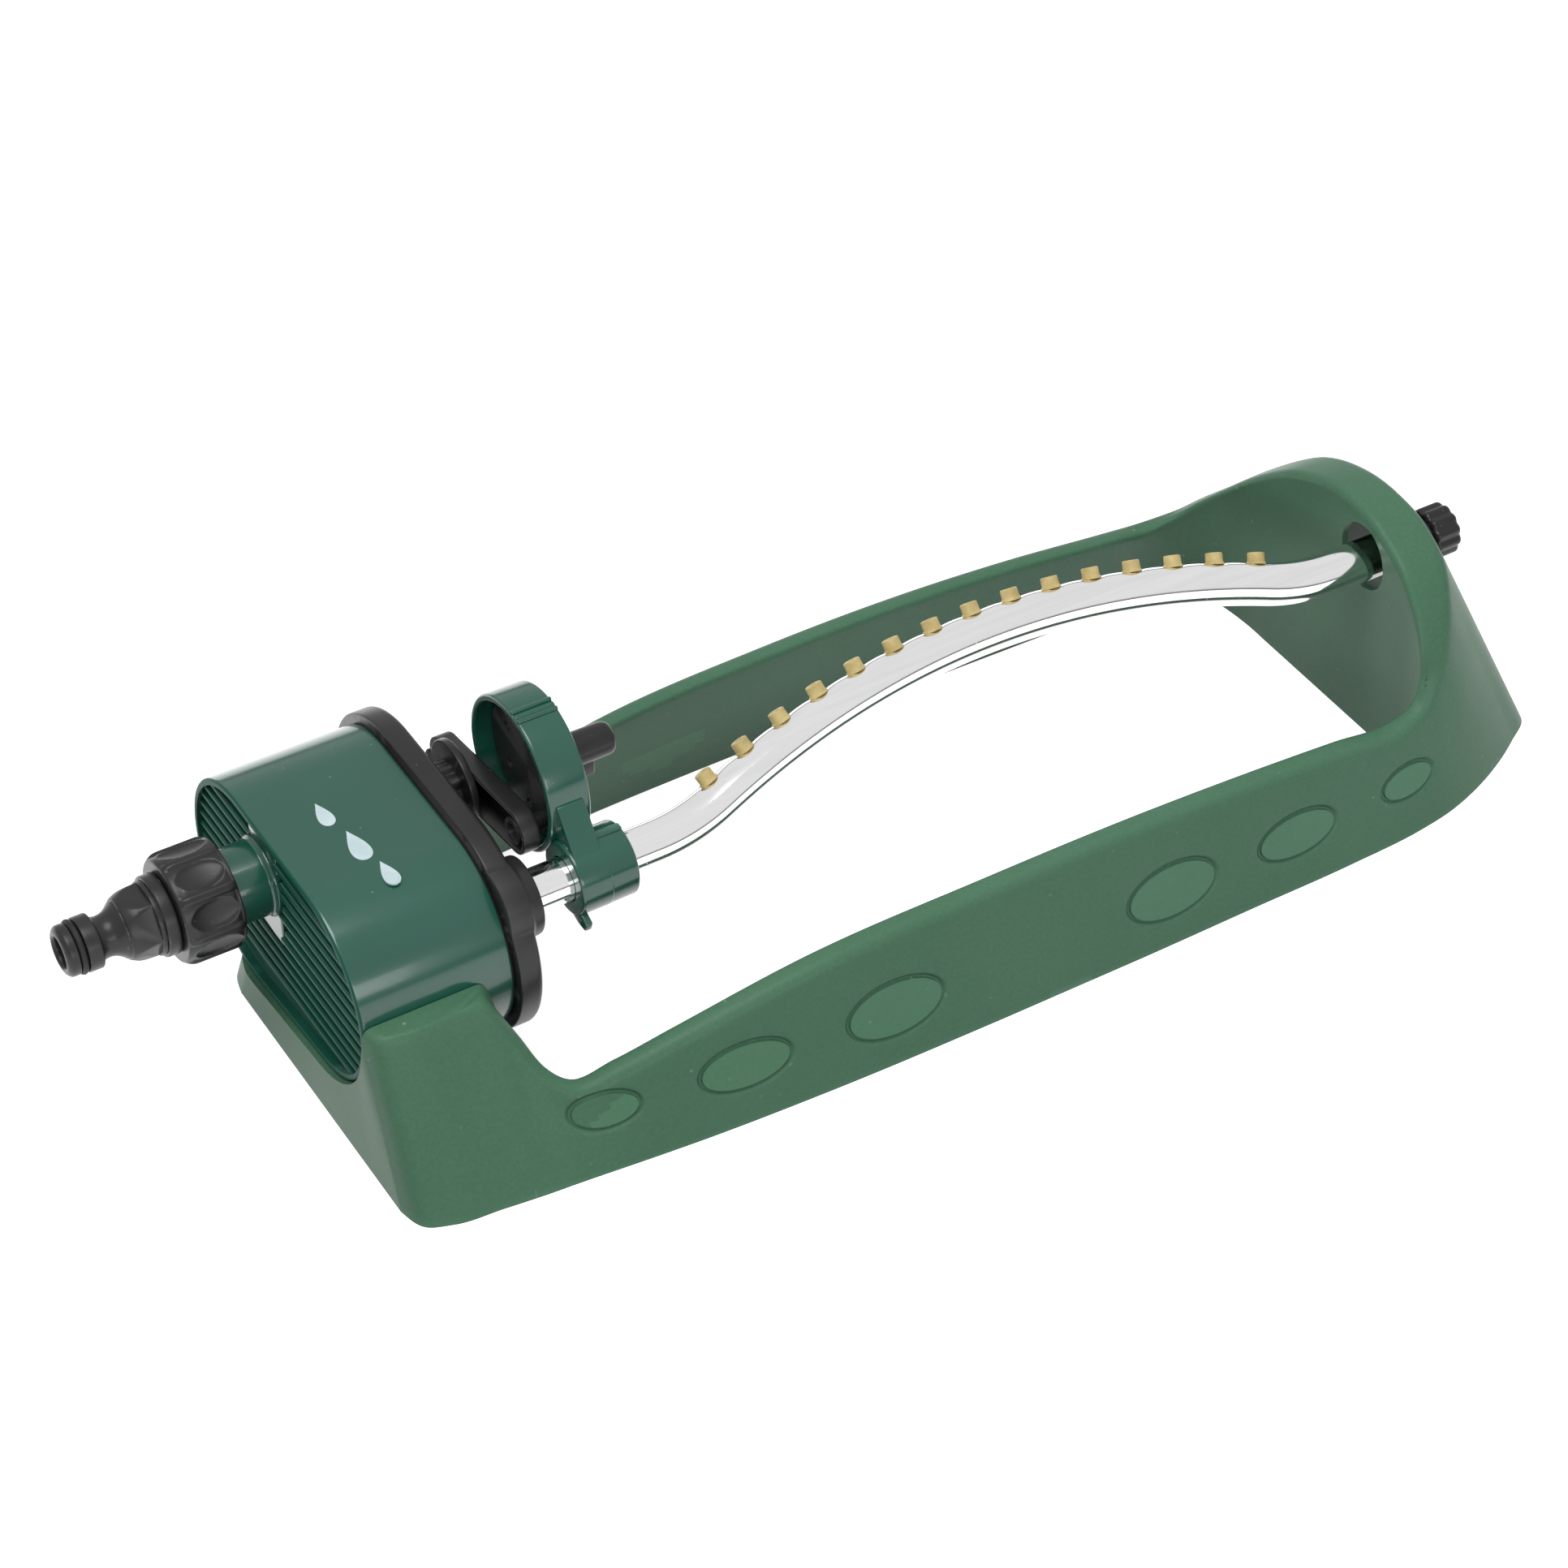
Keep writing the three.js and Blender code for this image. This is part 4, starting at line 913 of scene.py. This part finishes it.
def end_plug():
    profile = corner([(158, 0), (158, 7.8), (158.8, 8.4), (166.2, 8.4), (167.2, 7.3), (167.2, 0)],
                     [0, 0.4, 0.7, 0.9, 1.0, 0], 6)
    cap = revolved("end_plug_cap", profile, 0, 0, 144, fluted(12, 8.4, 7.65, 0.7))
    stem = disc("plug_stem", 142, 159, 4.9, 0, 0, 0.5)
    cut(stem, washer("stem_groove", 150.5, 152.3, 4.2, 6, 0, 0))
    unite(cap, stem)
    fitted(cap, "black_plastic", "plug", "end_plug", smooth=35)
    ring = washer("plug_washer", 156.9, 157.7, 5.2, 6.4, 0, 0, 0.25)
    fitted(ring, "seal_rubber", "spray_arm", "plug_seal")


# ------------------------------------------------------------------ yoke, dial, link and crank
def drive_pin():
    distance = math.hypot(RING_Y, RING_Z)
    return np.array([RING_Y, RING_Z]) * DRIVE_PIN_REACH / distance


def tube_yoke():
    left, right = -142.0, -129.0
    ring = revolved("tube_yoke_ring", corner([(-136, 23.5), (left, 23.5), (left, 21.5), (-131.8, 21.5), (-131.8, 18.5),
                                              (right, 18.5), (right, 23.5), (-136, 23.5)],
                                             [0, 0.9, 0.5, 0.3, 0.4, 0.7, 1.4, 0], 6), RING_Y, RING_Z, 144)
    grip = []
    for place, reach, height in ((95.5, 0.7, 0.8), (104.5, 0.7, 0.8), (100, 1.6, 0.35)):
        lean = math.radians(place)
        grip.append(disc("grip", left + 0.2, right - 0.3, reach, RING_Y + (23.5 + height - reach) * math.cos(lean),
                         RING_Z + (23.5 + height - reach) * math.sin(lean), 0.4, 24))
    clamp = revolved("clamp", corner([(-141, 0), (-141, 10.8), (-140.4, 11.2), (-131.6, 11.2), (-131.4, 11.1), (-123.2, 11.0),
                                      (-122.6, 10.2), (-122.6, 0)],
                                     [0, 0.4, 0.4, 0.2, 0.2, 0.4, 0.4, 0], 4), 0, 0, 96)
    seam = bevelled(block("clamp_seam", (-140.6, -122.9), (-1.2, 1.4), (9.5, 11.7)), 0.5)
    strap = bevelled(prism("strap", [(-6, 8.5), (4.2, 22), (7.4, 22), (8, 12), (6, 9), (-1, 7)], -140, -131.6), 0.4)
    latch = bevelled(prism("latch", [(-7, -6), (-11.8, -8.6), (-11.0, -11.4), (-7, -11.4), (-3, -10)], -141, -138.6), 0.6)
    unite(clamp, seam, strap, latch)
    cut(clamp, disc("ring_space", left - 1, -131.8, 21.5, RING_Y, RING_Z, 0, 144),
        disc("ring_window", -133, right + 1, 18.5, RING_Y, RING_Z, 0, 144),
        disc("latch_hole", -142, -131, 1.1, -9.6, -9.9, 0, 24))
    unite(ring, clamp, *grip)
    cut(ring, disc("tube_bore", -144, -121, TUBE_R + 0.3, 0, 0, 0, 72))
    return fitted(ring, "gloss_green", "spray_arm", "tube_yoke", smooth=35)


def selector_dial():
    left, right, knob_end = -136.4, -133.6, -110.0
    plate = revolved("selector_dial_plate", corner([(left, 0), (left, 21), (right - 0.1, 21), (right - 0.1, 18.2),
                                                    (right - 0.8, 17.6), (right - 0.8, 0)],
                                                   [0, 0.4, 0.5, 0.3, 0.2, 0], 4), RING_Y, RING_Z, 128)
    knob = revolved("knob", corner([(right - 1.4, 0), (right - 1.4, 6.4), (right + 0.3, 5.3), (knob_end - 1.2, 4.9),
                                    (knob_end, 3.6), (knob_end, 0)], [0, 0.1, 1.2, 1.6, 1.0, 0], 6), RING_Y, RING_Z, 64)
    fin = bevelled(block("fin", (right - 1.2, knob_end - 6), (RING_Y - 1.5, RING_Y + 1.5), (RING_Z - 10.5, RING_Z)), 0.6)
    pin_y, pin_z = drive_pin()
    pin = disc("drive_pin", -142.9, left + 0.3, 2.3, pin_y, pin_z, 0.35, 40)
    slots = []
    for k in range(6):
        turn = math.radians(30 + 60 * k)
        slots.append(disc("slot", left - 1, right + 1, 1.6, RING_Y + 13.2 * math.cos(turn), RING_Z + 13.2 * math.sin(turn), 0, 32))
    cut(plate, joined(*slots))
    unite(plate, knob, fin, pin)
    return fitted(plate, "black_plastic", "dial", "selector_dial", smooth=35)


LINK_BULGE = 3.2  # how far the link's upper side swells out halfway


def link_solid(name, profile, steps=40):
    """A profile of (x, radius) carried round the link: two round ends, with the upper side bulged."""
    ends = np.array(CRANK_PIN), drive_pin()
    middle, half = (ends[0] + ends[1]) / 2, np.linalg.norm(ends[1] - ends[0]) / 2
    across = np.array([ends[1][1] - ends[0][1], ends[0][0] - ends[1][0]]) / (2 * half)
    loops = []
    for x, r in profile:
        outline = np.array(link_outline(*ends, r, steps))
        reach = np.clip(1 - ((outline - middle) @ (ends[1] - ends[0]) / (2 * half ** 2)) ** 2, 0, 1)
        upper = (outline - middle) @ across > 0
        outline += np.outer(LINK_BULGE * reach * upper * min(1.0, r / 5), across)
        loops.append(np.column_stack([np.full(len(outline), x), outline]))
    return loops_object(name, loops)


def drive_link():
    left, right, radius, pocket = -148.8, -143.2, 7.2, 5.4
    ends = (CRANK_PIN, drive_pin())
    body = link_solid("drive_link_body", corner([(left, 0.5), (left, radius), (right, radius), (right, 0.5)],
                                                [0, 0.4, 1.0, 0], 6))
    cut(body, link_solid("pocket", corner([(left - 1, pocket + 0.6), (right - 1.6, pocket), (right - 1.6, 0.4)],
                                          [0, 0.8, 0], 5)))
    for y, z in ends:
        boss = revolved("link_boss", corner([(left, 0), (left, 4.1), (right - 0.2, 4.1), (right - 0.2, 0)], [0, 0.4, 0.5, 0], 4),
                        y, z, 48)
        unite(body, boss)
        cut(body, disc("link_bore", left - 1, right + 1, 2.6, y, z, 0, 40))
    return fitted(body, "black_plastic", "link", "drive_link", smooth=35)


def crank_disc():
    left, right, radius = -151.6, -149.2, 13.0
    hub = revolved("crank_hub", corner([(-156.1, 0), (-156.1, 7.0), (-155.4, 7.4), (left + 0.3, 7.4), (left + 0.3, 0)],
                                       [0, 0.3, 0.4, 0, 0], 4), CRANK_Y, CRANK_Z, 128, fluted(8, 7.4, 6.3, 0.6))
    plate = disc("crank_disc_plate", left, right, radius, CRANK_Y, CRANK_Z, 0.55, 96)
    lobe = disc("crank_lobe", left, right, 4.6, *CRANK_PIN, 0.55, 48)
    pin = disc("crank_pin", right - 0.6, -143.6, 2.3, *CRANK_PIN, 0.35, 40)
    unite(plate, hub, lobe, pin)
    cut(plate, disc("crank_bore", -158, right - 0.8, 2.5, CRANK_Y, CRANK_Z, 0, 40))
    return fitted(plate, "black_plastic", "crank", "crank_disc", smooth=35)


for make in (base_frame, motor_housing, motor_cover, seals, droplets, swivel_nut, hose_adapter, spray_tube, jets, end_plug,
             tube_yoke, selector_dial, drive_link, crank_disc):
    make()


# ------------------------------------------------------------------ floor, light and camera
def floor():
    mesh = bpy.data.meshes.new("floor")
    mesh.from_pydata([(-6, -6, 0), (6, -6, 0), (6, 6, 0), (-6, 6, 0)], [], [(0, 1, 2, 3)])
    obj = bpy.data.objects.new("floor", mesh)
    bpy.context.scene.collection.objects.link(obj)
    s = Shader("white_paper", Metallic=0.0, Specular_IOR_Level=0.1)
    s.colour(s.ramp(s.noise(3, 2), [(0.3, 0.93), (0.7, 0.96)]))
    s.roughness(s.noise(40, 2), 0.85, 0.95)
    s.main.inputs["Emission Color"].default_value = (1, 1, 1, 1)
    s.main.inputs["Emission Strength"].default_value = 0.62
    mesh.materials.append(s.material)
    obj.visible_diffuse = False


def world():
    """A white surround overhead that falls to grey at the horizon and below."""
    made = bpy.data.worlds.new("studio")
    bpy.context.scene.world = made
    made.use_nodes = True
    nodes, links = made.node_tree.nodes, made.node_tree.links
    place = nodes.new("ShaderNodeTexCoord")
    split = nodes.new("ShaderNodeSeparateXYZ")
    shade = nodes.new("ShaderNodeValToRGB")
    for element, (height, grey) in zip(shade.color_ramp.elements, ((0.03, 0.08), (0.16, 1.0))):
        element.position, element.color = height, (grey, grey, grey, 1)
    links.new(place.outputs["Generated"], split.inputs[0])
    links.new(split.outputs["Z"], shade.inputs[0])
    links.new(shade.outputs[0], nodes["Background"].inputs["Color"])
    nodes["Background"].inputs["Strength"].default_value = 0.8


def area_light(name, place, target, size, power):
    data = bpy.data.lights.new(name, "AREA")
    data.shape = "RECTANGLE"
    data.size, data.size_y, data.energy = size[0], size[1], power
    obj = bpy.data.objects.new(name, data)
    obj.location = place
    obj.rotation_euler = (Vector(target) - Vector(place)).to_track_quat("-Z", "Y").to_euler()
    bpy.context.scene.collection.objects.link(obj)


def camera():
    data = bpy.data.cameras.new("camera")
    data.lens, data.sensor_width = 93.06, 36.0
    obj = bpy.data.objects.new("camera", data)
    right, up, back = (0.8548, -0.5190, 0.0), (0.3407, 0.5611, 0.7544), (-0.3915, -0.6448, 0.6564)
    turned = Matrix((right, up, back)).transposed().to_4x4()
    obj.matrix_world = Matrix.Translation(to_row((-518.7, -739.1, 755.0))) @ turned
    bpy.context.scene.collection.objects.link(obj)
    bpy.context.scene.camera = obj


floor()
world()
camera()
area_light("key", (-0.35, -0.15, 1.5), (0, 0, 0), (0.8, 0.8), 13)
area_light("strip", (-0.35, -1.5, 0.45), (-0.1, 0, 0), (1.4, 0.4), 7)
bpy.context.scene.view_settings.view_transform = "Standard"
